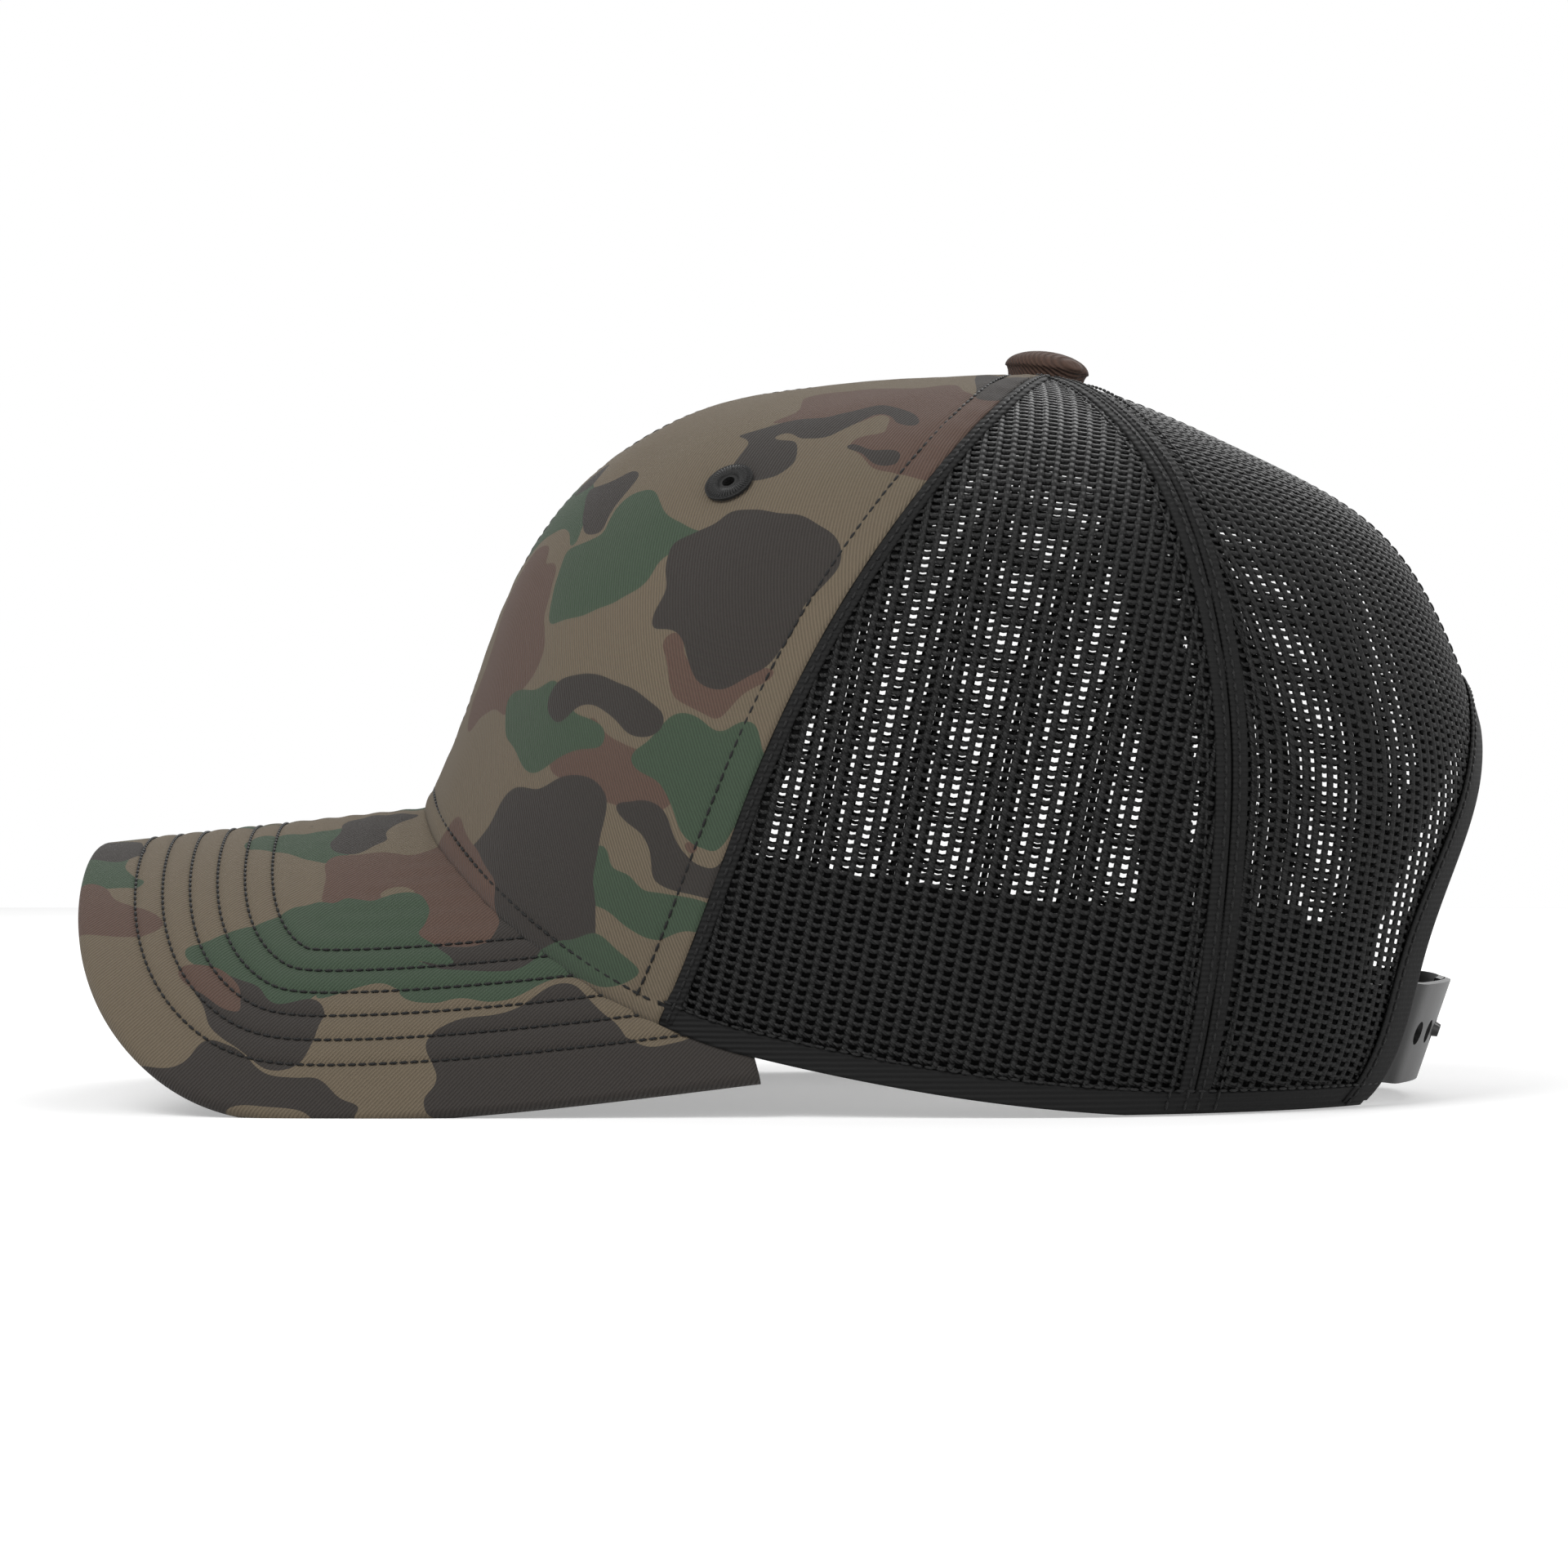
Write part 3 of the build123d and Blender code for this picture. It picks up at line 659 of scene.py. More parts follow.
# Camouflage patches: colour, centre and radii in millimetres. The crown's come first.
PATCHES = [
    ("brown", (50, 16, 121), (30, 26, 8)), ("brown", (60, -31, 57), (25, 12, 10)),
    ("brown", (30, -48, 82), (22, 10, 14)), ("green", (45, -30, 98), (30, 16, 8)),
    ("green", (70, -15, 62), (26, 16, 9)), ("green", (75, -20, 38), (24, 15, 5)),
    ("green", (20, -44, 108), (20, 10, 9)), ("brown", (60, -8, 76), (20, 14, 5)),
    ("charcoal", (65, -6, 91), (34, 16, 15)), ("charcoal", (55, -46, 37), (30, 19, 17)),
    ("charcoal", (40, 3, 115), (24, 14, 4)), ("charcoal", (35, -33, 111), (22, 9, 5)),
    ("charcoal", (70, -18, 48), (24, 13, 4)),
    ("green", (30, -88, 46), (17, 12, 9)), ("brown", (45, -68, 40), (26, 16, 7)),
    ("green", (56, -84, 30), (13, 24, 8)), ("charcoal", (64, -92, 20), (12, 13, 8)),
    ("brown", (60, -100, 22), (9, 9, 5)), ("charcoal", (74, -92, 7), (14, 22, 6)),
    ("charcoal", (74, -40, 9), (16, 24, 9)), ("charcoal", (22, -82, 48), (12, 13, 5)),
    ("green", (30, -124, 40), (14, 9, 7)), ("charcoal", (12, -127, 44), (16, 8, 6)),
    ("charcoal", (79, -16, 6), (16, 24, 9)), ("green", (66, -50, 24), (12, 30, 5)),
    ("brown", (45, -122, 32), (12, 8, 5)), ("charcoal", (30, 34, 128), (20, 7, 6)),
    ("green", (48, -38, 66), (14, 12, 11)), ("charcoal", (56, -26, 72), (14, 12, 6)),
]


def camouflage(colours):
    """Matt cotton twill printed with woodland patches, with painted shade in the twill's valleys."""
    paint = Paint("camouflage twill", roughness=.93, sheen=.08)
    drift = paint.noise(.042, 1.2)
    centred = paint.add("ShaderNodeVectorMath", {0: drift.outputs["Color"], 1: (.5, .5, .5)},
                        operation="SUBTRACT").outputs[0]
    moved = paint.add("ShaderNodeVectorMath", {0: centred, 1: (36, 36, 36), 2: paint.place},
                      operation="MULTIPLY_ADD").outputs[0]
    cloth = colours["khaki"]
    spread = paint.add("ShaderNodeVectorMath", {0: moved, 1: (1, .7, 1.35)}, operation="MULTIPLY").outputs[0]
    side = paint.add("ShaderNodeSeparateXYZ", {0: moved}).outputs[0]
    other_side = paint.math("LESS_THAN", side, 4.0)
    for name, scale, level, shift in (("brown", .030, .54, 40), ("green", .033, .55, 90),
                                      ("charcoal", .034, .585, 160)):
        there = paint.add("ShaderNodeVectorMath", {0: spread, 1: (shift, shift, shift)}, operation="ADD")
        field = paint.noise(scale, 1.0, there.outputs[0]).outputs[0]
        factor = paint.math("MULTIPLY", paint.math("GREATER_THAN", field, level), other_side)
        cloth = paint.over(factor, cloth, colours[name])
    for name, centre, radii in PATCHES:
        inverse = tuple(1 / r for r in radii)
        shift = tuple(-c / r for c, r in zip(centre, radii))
        local = paint.add("ShaderNodeVectorMath", {0: moved, 1: inverse, 2: shift}, operation="MULTIPLY_ADD")
        reach = paint.add("ShaderNodeVectorMath", {0: local.outputs[0]}, operation="LENGTH").outputs[1]
        cloth = paint.over(paint.math("LESS_THAN", reach, 1.0), cloth, colours[name])
    flat = paint.add("ShaderNodeAttribute", attribute_name="cloth").outputs["Vector"]
    twill = paint.add("ShaderNodeTexWave", {"Vector": flat, "Scale": .75, "Distortion": .5},
                      bands_direction="DIAGONAL").outputs[1]
    fuzz = paint.noise(2.2, 3.0).outputs[0]
    height = paint.math("MULTIPLY_ADD", fuzz, .5, twill)
    # Painted shade: where the twill and fuzz height is low, the printed colour is darkened down to .62 of
    # itself.
    return paint.finish(paint.with_painted_shade(cloth, height, .62), height, .6)


def woven(name, colour, weave=.5, roughness=.85, darkest=.6, bump=.5, direction="DIAGONAL", sheen=.05):
    """Plain dyed cloth, tape or yarn with a fine weave and painted shade in the weave's valleys."""
    paint = Paint(name, roughness=roughness, sheen=sheen)
    threads = paint.wave(weave, direction, .4)
    fuzz = paint.noise(1.4, 4.0).outputs[0]
    height = paint.math("MULTIPLY_ADD", fuzz, .6, threads)
    # Painted shade: where the weave and fuzz are low, the colour is darkened towards darkest.
    return paint.finish(paint.with_painted_shade(colour, height, darkest), height, bump)


def moulded(name, colour, roughness, metallic=0.0, bump=.08):
    """Plastic or metal with a faint moulding texture and painted shade where the grain is low."""
    paint = Paint(name, roughness=roughness)
    paint.shader.inputs["Metallic"].default_value = metallic
    paint.shader.inputs["Specular IOR Level"].default_value = 0.5
    grain = paint.noise(2.5, 4.0).outputs[0]
    # Painted shade: where the grain's bump is low, the colour is darkened down to .8 of itself.
    return paint.finish(paint.with_painted_shade(colour, grain, .8), grain, bump)


# ---- settings -----------------------------------------------------------------------------
class CapSizes(bpy.types.PropertyGroup):
    """Sizes of the stitching and of the mesh fabric."""
    crown_pitch: bpy.props.FloatProperty(
        name="Crown Stitch", description="Length of one stitch on the crown", default=0.0021, unit="LENGTH")
    visor_pitch: bpy.props.FloatProperty(
        name="Visor Stitch", description="Length of one stitch on the visor", default=0.0018, unit="LENGTH")
    thread: bpy.props.FloatProperty(
        name="Thread Radius", description="Radius of the sewing thread", default=0.00027, unit="LENGTH")
    column_pitch: bpy.props.FloatProperty(
        name="Mesh Column", description="Width of one hole and its rib", default=0.00265,
        unit="LENGTH")
    row_pitch: bpy.props.FloatProperty(
        name="Mesh Row", description="Height of one row of holes", default=0.00167, unit="LENGTH")
    column_step: bpy.props.FloatProperty(
        name="Column Step", description="Rows by which the next pair of columns is shifted", default=0.62,
        subtype="FACTOR")


def tint(name, description, code):
    """Colour property with its default from a hex code."""
    return bpy.props.FloatVectorProperty(
        name=name, description=description, default=linear(code), size=3, min=0, max=1, subtype="COLOR")


class CapColours(bpy.types.PropertyGroup):
    """Colours of the cap."""
    khaki: tint("Khaki", "Ground of the camouflage", "6e6353")
    brown: tint("Brown", "Brown patches", "5d4a41")
    green: tint("Green", "Green patches", "415040")
    charcoal: tint("Charcoal", "Dark patches", "3a3633")
    yarn: tint("Yarn", "Mesh, tape and thread", "0a0a0a")


def sizes():
    return bpy.context.scene.cap_sizes


def finish_called(name):
    return bpy.data.materials[name]


class CAP_OT_materials(bpy.types.Operator):
    """Make the cloth, yarn, plastic and metal finishes and the geometry node trees"""
    bl_idname = "cap.materials"
    bl_label = "Finishes"

    def execute(self, context):
        tints = context.scene.cap_colours
        names = ("khaki", "brown", "green", "charcoal")
        camouflage({name: tuple(getattr(tints, name)) for name in names})
        woven("mesh yarn", tints.yarn, weave=.9, roughness=.5, darkest=.7, bump=.35, sheen=0)
        woven("black tape", tints.yarn, weave=.33, roughness=.75, darkest=.45, direction="Z", sheen=0)
        woven("black thread", linear("0d0d0d"), weave=1.2, roughness=.55, darkest=.6, bump=.3)
        woven("button cloth", linear("4f3c33"), weave=.55, darkest=.55, bump=.8)
        woven("sweatband cloth", linear("101010"), weave=.45, darkest=.6)
        woven("visor lining", linear("1f2420"), weave=.6, darkest=.7)
        woven("stiffener", linear("c9c6bd"), weave=.35, darkest=.8)
        woven("embroidery thread", linear("0d0d0d"), weave=1.4, roughness=.45, darkest=.7, bump=.3)
        moulded("visor board plastic", linear("2b2b2b"), .5)
        moulded("strap plastic", linear("0f0f0f"), .42)
        moulded("button metal", linear("b7b7b2"), .35, metallic=1.0)
        stitch_tree()
        mesh_fabric_tree()
        return {"FINISHED"}


def eyelet_middle():
    return layer(EYELET_ANGLE, EYELET_CLIMB, 0.0)


class CAP_OT_front_panels(bpy.types.Operator):
    """Make the two camouflage front panels with rolled seams, puckers and eyelet holes"""
    bl_idname = "cap.front_panels"
    bl_label = "Front Panels"

    def execute(self, context):
        across = np.linspace(0, 1, 96)[:, None]
        climb = np.linspace(0, TOP_CLIMB, 211)[None, :]
        first = beside(CENTRE_SEAM, climb, SEAM_GAP)
        last = beside(FRONT_SEAM, climb, -SEAM_GAP + FRONT_TUCK)
        angle = first + (last - first) * across
        climb = np.broadcast_to(climb, angle.shape)
        base = crown(angle, climb)
        steps = np.linalg.norm(np.diff(base, axis=0), axis=-1)
        from_centre = np.concatenate([np.zeros((1, steps.shape[1])), np.cumsum(steps, 0)])
        from_seam = from_centre[-1] - from_centre
        lifts = np.linalg.norm(np.diff(base, axis=1), axis=-1)
        from_hem = np.concatenate([np.zeros((lifts.shape[0], 1)), np.cumsum(lifts, 1)], 1)
        relief = -.45 * np.exp(-from_centre / .8) - .3 * np.exp(-from_hem / .8)
        relief += .18 * np.exp(-from_seam / 1.5)
        puckers = ((from_centre, CENTRE_PUCKER), (from_seam, FRONT_EDGE_PUCKER), (from_hem, FRONT_HEM_ROW))
        for distance, place in puckers:
            relief -= .26 * ridge(distance, place, .55)
            relief += .12 * ridge(distance, place / 2, 1.1)
        near_seam = np.exp(-np.minimum(from_centre, from_seam) / 5)
        relief += .10 * np.sin(from_hem * 2 * math.pi / 7.3) * near_seam
        relief += .16 * np.sin(from_centre * .23 + from_hem * .11) * np.sin(from_hem * .083 + 1)
        normal = crown_normal(angle, climb)
        proud = np.minimum(relief, .5) + FRONT_PROUD
        outer = base + normal * proud[..., None]
        inner = base + normal * (proud - FABRIC_THICKNESS)[..., None]
        drop = HEM_DROP * np.exp(-from_hem / .6) * (angle < VISOR_CORNER)
        outer[..., 2] -= drop
        inner[..., 2] -= drop
        cloth = np.stack([from_centre, from_hem], -1)
        middles = (base[:-1, :-1] + base[1:, 1:]) / 2
        keep = np.linalg.norm(middles - eyelet_middle(), axis=-1) > EYELET_HOLE
        camo = finish_called("camouflage twill")
        left = sheet_shell("camouflage_front_left", outer, inner, keep, cloth)
        settle(left, camo, "cap_shell", "camo_twill", "front_panel_left")
        right = sheet_shell("camouflage_front_right", mirrored(outer), mirrored(inner), keep[::-1],
                            cloth[::-1])
        settle(right, camo, "cap_shell", "camo_twill", "front_panel_right")
        return {"FINISHED"}


def visor_unrolled(u, inset):
    """Point on the unrolled visor at this inset from its edge, towards the hem."""
    edge = visor_outline(u)
    hem = visor_hem(u)
    length = np.linalg.norm(edge - hem, axis=-1)
    share = np.clip(inset / length, 0, 1)[..., None]
    return edge + (hem - edge) * share


def visor_place(flat, depth):
    return visor_point(flat[..., 0] / VISOR_ARCH, flat[..., 1], depth)


def visor_edge_line():
    return visor_outline(np.linspace(-1, 1, 1200))


def visor_normal(flat):
    return unit(np.stack([np.sin(flat[..., 0] / VISOR_ARCH),
                          np.full(flat.shape[:-1], -math.tan(math.radians(VISOR_SLOPE))),
                          np.cos(flat[..., 0] / VISOR_ARCH)], -1))


class CAP_OT_visor(bpy.types.Operator):
    """Make the visor's camouflage cover with its rolled edge and sewn rows, and its lining"""
    bl_idname = "cap.visor"
    bl_label = "Visor"

    def execute(self, context):
        u = np.linspace(-1, 1, 260)
        u[np.argmin(np.abs(u))] += 1e-6
        u = u[:, None]
        length = np.linalg.norm(visor_outline(u) - visor_hem(u), axis=-1)
        radius = VISOR_EDGE_RADIUS * np.clip((length - .4) / 4, .12, 1)
        top_count = 110
        top = np.linspace(1, 0, top_count)[None, :]
        inset = radius + (np.maximum(length, radius + .2) - radius) * top
        turns = np.linspace(0, math.pi, 12)[None, 1:]
        inset = np.concatenate([inset, radius - radius * np.sin(turns)], 1)
        depth = np.concatenate([np.zeros_like(top + radius), radius * (1 - np.cos(turns))], 1)
        slim = 1 - VISOR_COVER / VISOR_EDGE_RADIUS
        inset_in = np.concatenate([inset[:, :top_count], radius - slim * radius * np.sin(turns)], 1)
        top_in = (1 - slim) * radius + 0 * top
        depth_in = np.concatenate([top_in, radius - slim * radius * np.cos(turns)], 1)
        flat = visor_unrolled(u, inset)
        away = distance_to(flat, visor_edge_line())
        relief = np.zeros_like(away)
        for row in range(ROW_COUNT):
            relief -= .30 * ridge(away, FIRST_ROW_INSET + row * ROW_STEP, .6)
        between = 1 - np.cos((away - FIRST_ROW_INSET) * 2 * math.pi / ROW_STEP)
        relief += .10 * between * (away > FIRST_ROW_INSET)
        relief *= np.clip(away / 4, 0, 1)
        outer = visor_place(flat, depth - np.minimum(relief, .3))
        inner = visor_place(visor_unrolled(u, inset_in), depth_in)
        cover = sheet_shell("camouflage_visor_cover", outer[:, ::-1], inner[:, ::-1], cloth=flat[:, ::-1])
        settle(cover, finish_called("camouflage twill"), "cap_shell", "camo_twill", "visor_top_cover")
        u = u * VISOR_REACH
        length = np.linalg.norm(visor_outline(u) - visor_hem(u), axis=-1)
        under_length = np.maximum(length - VISOR_UNDER_INSET, .3)
        inset = VISOR_UNDER_INSET + under_length * np.linspace(0, 1, 60)[None, :]
        flat = visor_unrolled(u, inset)
        away = distance_to(flat, visor_edge_line())
        sag = np.zeros_like(away)
        for row in range(ROW_COUNT):
            sag -= .22 * ridge(away, FIRST_ROW_INSET + row * ROW_STEP, .6)
        bottom = visor_place(flat, VISOR_UNDER_DEPTH + VISOR_COVER + sag)
        upper = visor_place(flat, VISOR_UNDER_DEPTH + 0 * sag)
        lining = sheet_shell("visor_lining", upper, bottom)
        settle(lining, finish_called("visor lining"), "cap_shell", "under_visor", "visor_under_cover")
        return {"FINISHED"}


def panel_grid(first, last, low, high, columns, rows):
    """Angles and climbs of a crown panel between two seams."""
    climb = np.linspace(low, high, rows)[None, :]
    start = beside(first[0], climb, first[1])
    end = beside(last[0], climb, last[1])
    share = np.linspace(0, 1, columns)[:, None]
    angle = start + (end - start) * share
    return angle, np.broadcast_to(climb, angle.shape)


def clear_of_opening(points):
    """Whether each point is outside the back opening."""
    x, z = points[..., 0], points[..., 2]
    inside = np.abs(x) < ARCH_HALF_WIDTH
    rise = np.sqrt(np.clip(1 - (x / ARCH_HALF_WIDTH) ** 2, 0, 1)) * (ARCH_TOP - ARCH_SPRING)
    return ~(inside & (z < ARCH_SPRING + rise) & (points[..., 1] > BUTTON_Y))


def prism(points, faces, path, half_width, half_depth, sides, upright):
    """Adds a closed bar along a path, upright or level."""
    start = len(points)
    for centre in path:
        for i in range(sides):
            turn = 2 * math.pi * (i + .5) / sides
            side = half_width * math.cos(turn)
            shift = (side, 0) if upright else (0, side)
            points.append((centre[0] + shift[0], centre[1] + shift[1],
                           centre[2] + half_depth * math.sin(turn)))
    last = start + (len(path) - 1) * sides
    bar = [tuple(range(start, start + sides)), tuple(range(last + sides - 1, last - 1, -1))]
    for ring in range(len(path) - 1):
        base = start + ring * sides
        for i in range(sides):
            k = (i + 1) % sides
            bar.append((base + k, base + i, base + sides + i, base + sides + k))
    faces.extend(bar if upright else [face[::-1] for face in bar])


def mesh_unit():
    """One rib and one sagging bar of a row, in metres."""
    pitch, row = sizes().column_pitch, sizes().row_pitch
    points, faces = [], []
    middle = -MESH_THICKNESS / 2 * MM
    rib = [(0, -row / 2, middle), (0, row / 2, middle)]
    prism(points, faces, rib, RIB_HALF_WIDTH, RIB_HALF_DEPTH, RIB_SIDES, True)
    reach = pitch - RIB_HALF_WIDTH / 2
    bar = [(RIB_HALF_WIDTH / 2, 0, middle), (pitch / 2, -BAR_SAG, middle + BAR_RISE), (reach, 0, middle)]
    prism(points, faces, bar, BAR_HALF_HEIGHT, BAR_HALF_DEPTH, BAR_SIDES, False)
    return make_object("mesh_unit", np.array(points), faces)


def carrier(name, angle, climb, mirror):
    """Smooth surface that the flat mesh fabric is draped on, with its flat coordinates."""
    base = crown(angle, climb)
    keep = clear_of_opening((base[:-1, :-1] + base[1:, 1:]) / 2)
    half = base.shape[0] // 2
    steps = np.linalg.norm(np.diff(base, axis=0), axis=-1)
    across = np.concatenate([np.zeros((1, steps.shape[1])), np.cumsum(steps, 0)])
    across = across - across[half]
    rises = np.linalg.norm(np.diff(base[half], axis=0), axis=-1)
    up = np.concatenate([[0], np.cumsum(rises)])
    up = np.broadcast_to(up - up[-1] / 2, across.shape)
    normal = crown_normal(angle, climb)
    if mirror:
        base, normal, keep = mirrored(base), mirrored(normal), keep[::-1]
        across, up = -across[::-1], up[::-1]
    rows, columns = base.shape[:2]
    index = np.arange(rows * columns).reshape(rows, columns)
    quads = np.stack([index[:-1, :-1], index[1:, :-1], index[1:, 1:], index[:-1, 1:]], -1)[keep]
    piece = make_object(name, base.reshape(-1, 3) * MM, quads.tolist())
    flat = np.stack([across * MM / FLAT_SPAN + .5, up * MM / FLAT_SPAN + .5, 0 * across], -1)
    store_vectors(piece, "flat", flat)
    store_vectors(piece, "outward", normal)
    return piece


class CAP_OT_mesh_panels(bpy.types.Operator):
    """Make the four knitted mesh panels"""
    bl_idname = "cap.mesh_panels"
    bl_label = "Mesh Panels"

    def execute(self, context):
        knit = mesh_unit()
        values = {"Unit": knit, "Column Pitch": sizes().column_pitch, "Row Pitch": sizes().row_pitch,
                  "Column Step": sizes().column_step, "Columns": MESH_COLUMNS, "Rows": MESH_ROWS,
                  "Yarn": finish_called("mesh yarn")}
        panels = (("side", (FRONT_SEAM, -MESH_TUCK), (REAR_SEAM, MESH_TUCK)),
                  ("back", (REAR_SEAM, -MESH_TUCK), (BACK_CENTRE, MESH_TUCK)))
        for kind, first, last in panels:
            for hand in ("left", "right"):
                angle, climb = panel_grid(first, last, .004, .975, 61, 161)
                source = carrier("cloth_carrier", angle, climb, hand == "right")
                name = f"knitted_{kind}_mesh_{hand}"
                piece = grown(source, bpy.data.node_groups["mesh fabric"], name, values)
                settle(piece, finish_called("mesh yarn"), "cap_shell", "mesh", f"{kind}_mesh_panel_{hand}")
        bpy.data.objects.remove(knit)
        return {"FINISHED"}


def strip(name, angle, climb, thickness, proud, hand, material, slot):
    """Flat folded band on the crown with softened long edges."""
    base = crown(angle, climb)
    normal = crown_normal(angle, climb)
    share = np.linspace(-1, 1, angle.shape[0])[:, None]
    soft = proud * (1 - .55 * np.abs(share) ** 6)
    outer = base + normal * soft[..., None]
    inner = base + normal * (soft - thickness)[..., None]
    keep = clear_of_opening((base[:-1, :-1] + base[1:, 1:]) / 2)
    if hand == "right":
        outer, inner, keep = mirrored(outer), mirrored(inner), keep[::-1]
    return settle(sheet_shell(name, outer, inner, keep), material, "cap_shell", slot)


class CAP_OT_seam_bands(bpy.types.Operator):
    """Make the doubled mesh along every seam and the hem"""
    bl_idname = "cap.seam_bands"
    bl_label = "Seam Bands"

    def execute(self, context):
        tape = finish_called("black tape")
        bands = (("front_edge", FRONT_SEAM, SEAM_GAP, BAND_WIDTH),
                 ("rear_ahead", REAR_SEAM, -BAND_WIDTH, -SEAM_GAP),
                 ("rear_behind", REAR_SEAM, SEAM_GAP, BAND_WIDTH),
                 ("back_centre", BACK_CENTRE, -BAND_WIDTH, -SEAM_GAP))
        thick = MESH_THICKNESS + BAND_PROUD
        for kind, seam, start, end in bands:
            for hand in ("left", "right"):
                angle, climb = panel_grid((seam, start), (seam, end), .004, TOP_CLIMB, 9, 180)
                strip(f"{kind}_band_{hand}", angle, climb, thick, BAND_PROUD, hand, tape, "mesh")
        for hand in ("left", "right"):
            round_angle = np.linspace(spline(FRONT_SEAM, 0.0)[0] + .4, 179.9, 200)[:, None]
            top = climb_at(round_angle, hem_height(round_angle) + HEM_BAND)
            low = climb_at(round_angle, np.maximum(hem_height(round_angle), .02))
            climb = low + (top - low) * np.linspace(0, 1, 9)[None, :]
            angle = np.broadcast_to(round_angle, climb.shape)
            strip(f"hem_band_{hand}", angle, climb, thick, BAND_PROUD - .05, hand, tape, "mesh")
        return {"FINISHED"}


class CAP_OT_sweatband(bpy.types.Operator):
    """Make the folded sweatband inside the hem"""
    bl_idname = "cap.sweatband"
    bl_label = "Sweatband"

    def execute(self, context):
        angle = np.linspace(-SWEATBAND_END, SWEATBAND_END, 420)[:, None]
        low = climb_at(angle, hem_height(angle) + SWEATBAND_RISE)
        high = climb_at(angle, hem_height(angle) + SWEATBAND_RISE + SWEATBAND_HEIGHT)
        share = np.linspace(0, 1, 40)[None, :]
        climb = low + (high - low) * share
        angle = np.broadcast_to(angle, climb.shape)
        quilt = .12 * np.sin(share * 2 * math.pi * 9) * np.sin(np.pi * share)
        roll = .25 * (ridge(share, 0, .03) + ridge(share, 1, .03))
        dents = .2 * ridge(share, .10, .012) + .2 * ridge(share, .90, .012)
        pucker = .08 * np.sin(np.radians(angle) * 160) * ridge(share, .10, .10)
        middle = SWEATBAND_DEPTH + SWEATBAND_THICKNESS / 2
        half = SWEATBAND_THICKNESS / 2 - roll
        outer = layer(angle, climb, middle - half)
        inner = layer(angle, climb, middle + half + quilt - dents + pucker - .1)
        piece = sheet_shell("sewn_sweatband", outer, inner)
        settle(piece, finish_called("sweatband cloth"), "cap_shell", "sweatband", "sweatband")
        return {"FINISHED"}


def arch_line(count):
    """Points and outward directions along the back opening's edge, in x and z."""
    leg = np.linspace(1.0, ARCH_SPRING, 14)[:-1]
    turns = np.linspace(0, math.pi, count)
    rise = ARCH_TOP - ARCH_SPRING
    curve = np.stack([ARCH_HALF_WIDTH * np.cos(turns), ARCH_SPRING + rise * np.sin(turns)], -1)
    away = unit(np.stack([np.cos(turns) / ARCH_HALF_WIDTH, np.sin(turns) / rise], -1))
    right = np.stack([np.full(len(leg), ARCH_HALF_WIDTH), leg], -1)
    left = right[::-1] * (-1, 1)
    points = np.concatenate([right, curve, left])
    outward = np.concatenate([np.tile((1.0, 0), (len(leg), 1)), away, np.tile((-1.0, 0), (len(leg), 1))])
    return points, outward


class CAP_OT_binding(bpy.types.Operator):
    """Make the folded binding round the back opening"""
    bl_idname = "cap.binding"
    bl_label = "Opening Binding"

    def execute(self, context):
        line, outward = arch_line(150)
        half = MESH_THICKNESS / 2 + BINDING_CLEARANCE
        turns = np.linspace(-math.pi / 2, math.pi / 2, 9)
        run = np.linspace(BINDING_WIDTH, 0, 12)[:-1]

        def profile(grow):
            deep = half + grow
            fold = -np.cos(turns) * (BINDING_EDGE - BINDING_THICKNESS + grow)
            reach = np.concatenate([run, fold, run[::-1]])
            flat = np.full(len(run), deep)
            depth = np.concatenate([-flat, np.sin(turns) * deep, flat])
            return reach, depth + MESH_THICKNESS / 2

        grids = []
        for grow in (BINDING_THICKNESS, 0.0):
            reach, depth = profile(grow)
            place = line[:, None] + outward[:, None] * reach[None, :, None]
            angle, climb = back_place(place[..., 0], np.maximum(place[..., 1], .3))
            dent = .12 * ridge(reach, BINDING_WIDTH - BINDING_ROW, .5) * np.sign(depth - .5)
            grids.append(layer(angle, climb, np.broadcast_to(depth - dent * (grow > 0), angle.shape)))
        piece = sheet_shell("folded_opening_binding", grids[0][:, ::-1], grids[1][:, ::-1])
        settle(piece, finish_called("black tape"), "cap_shell", "tape", "back_opening_binding")
        return {"FINISHED"}


class CAP_OT_button(bpy.types.Operator):
    """Make the cloth covered button on top"""
    bl_idname = "cap.button"
    bl_label = "Button"

    def execute(self, context):
        tilt = math.radians(-BUTTON_TILT)
        turned = np.array([[1, 0, 0], [0, math.cos(tilt), -math.sin(tilt)],
                           [0, math.sin(tilt), math.cos(tilt)]])
        seat = np.array([0, BUTTON_Y, CROWN_HEIGHT + BUTTON_SEAT])
        waist = BUTTON_HEIGHT * .32
        foot = [(0, -BUTTON_SKIRT), (BUTTON_RADIUS * .5, -BUTTON_SKIRT),
                (BUTTON_RADIUS - BUTTON_LIP, -BUTTON_SKIRT)]
        side = [(BUTTON_RADIUS - BUTTON_LIP * math.cos(t),
                 waist - (waist + BUTTON_SKIRT) * (1 - math.sin(t)))
                for t in (.25, .5, .8, 1.15)]
        top = [(BUTTON_RADIUS * math.cos(t), waist + (BUTTON_HEIGHT - waist) * math.sin(t))
               for t in np.linspace(0, math.pi / 2, 16)[:-1]]
        profile = foot + side + top + [(0, BUTTON_HEIGHT)]

        def ripple(turns, radius):
            fold = np.abs(np.cos(turns * BUTTON_GATHERS / 2)) ** 30
            return 1 - .018 * fold * (radius > 2) + .004 * np.sin(turns * 37)

        piece = lathe("cloth_button", profile, lambda p: p @ turned.T + seat, ripple)
        settle(piece, finish_called("button cloth"), "cap_shell", "button_twill", "button_cover")
        return {"FINISHED"}


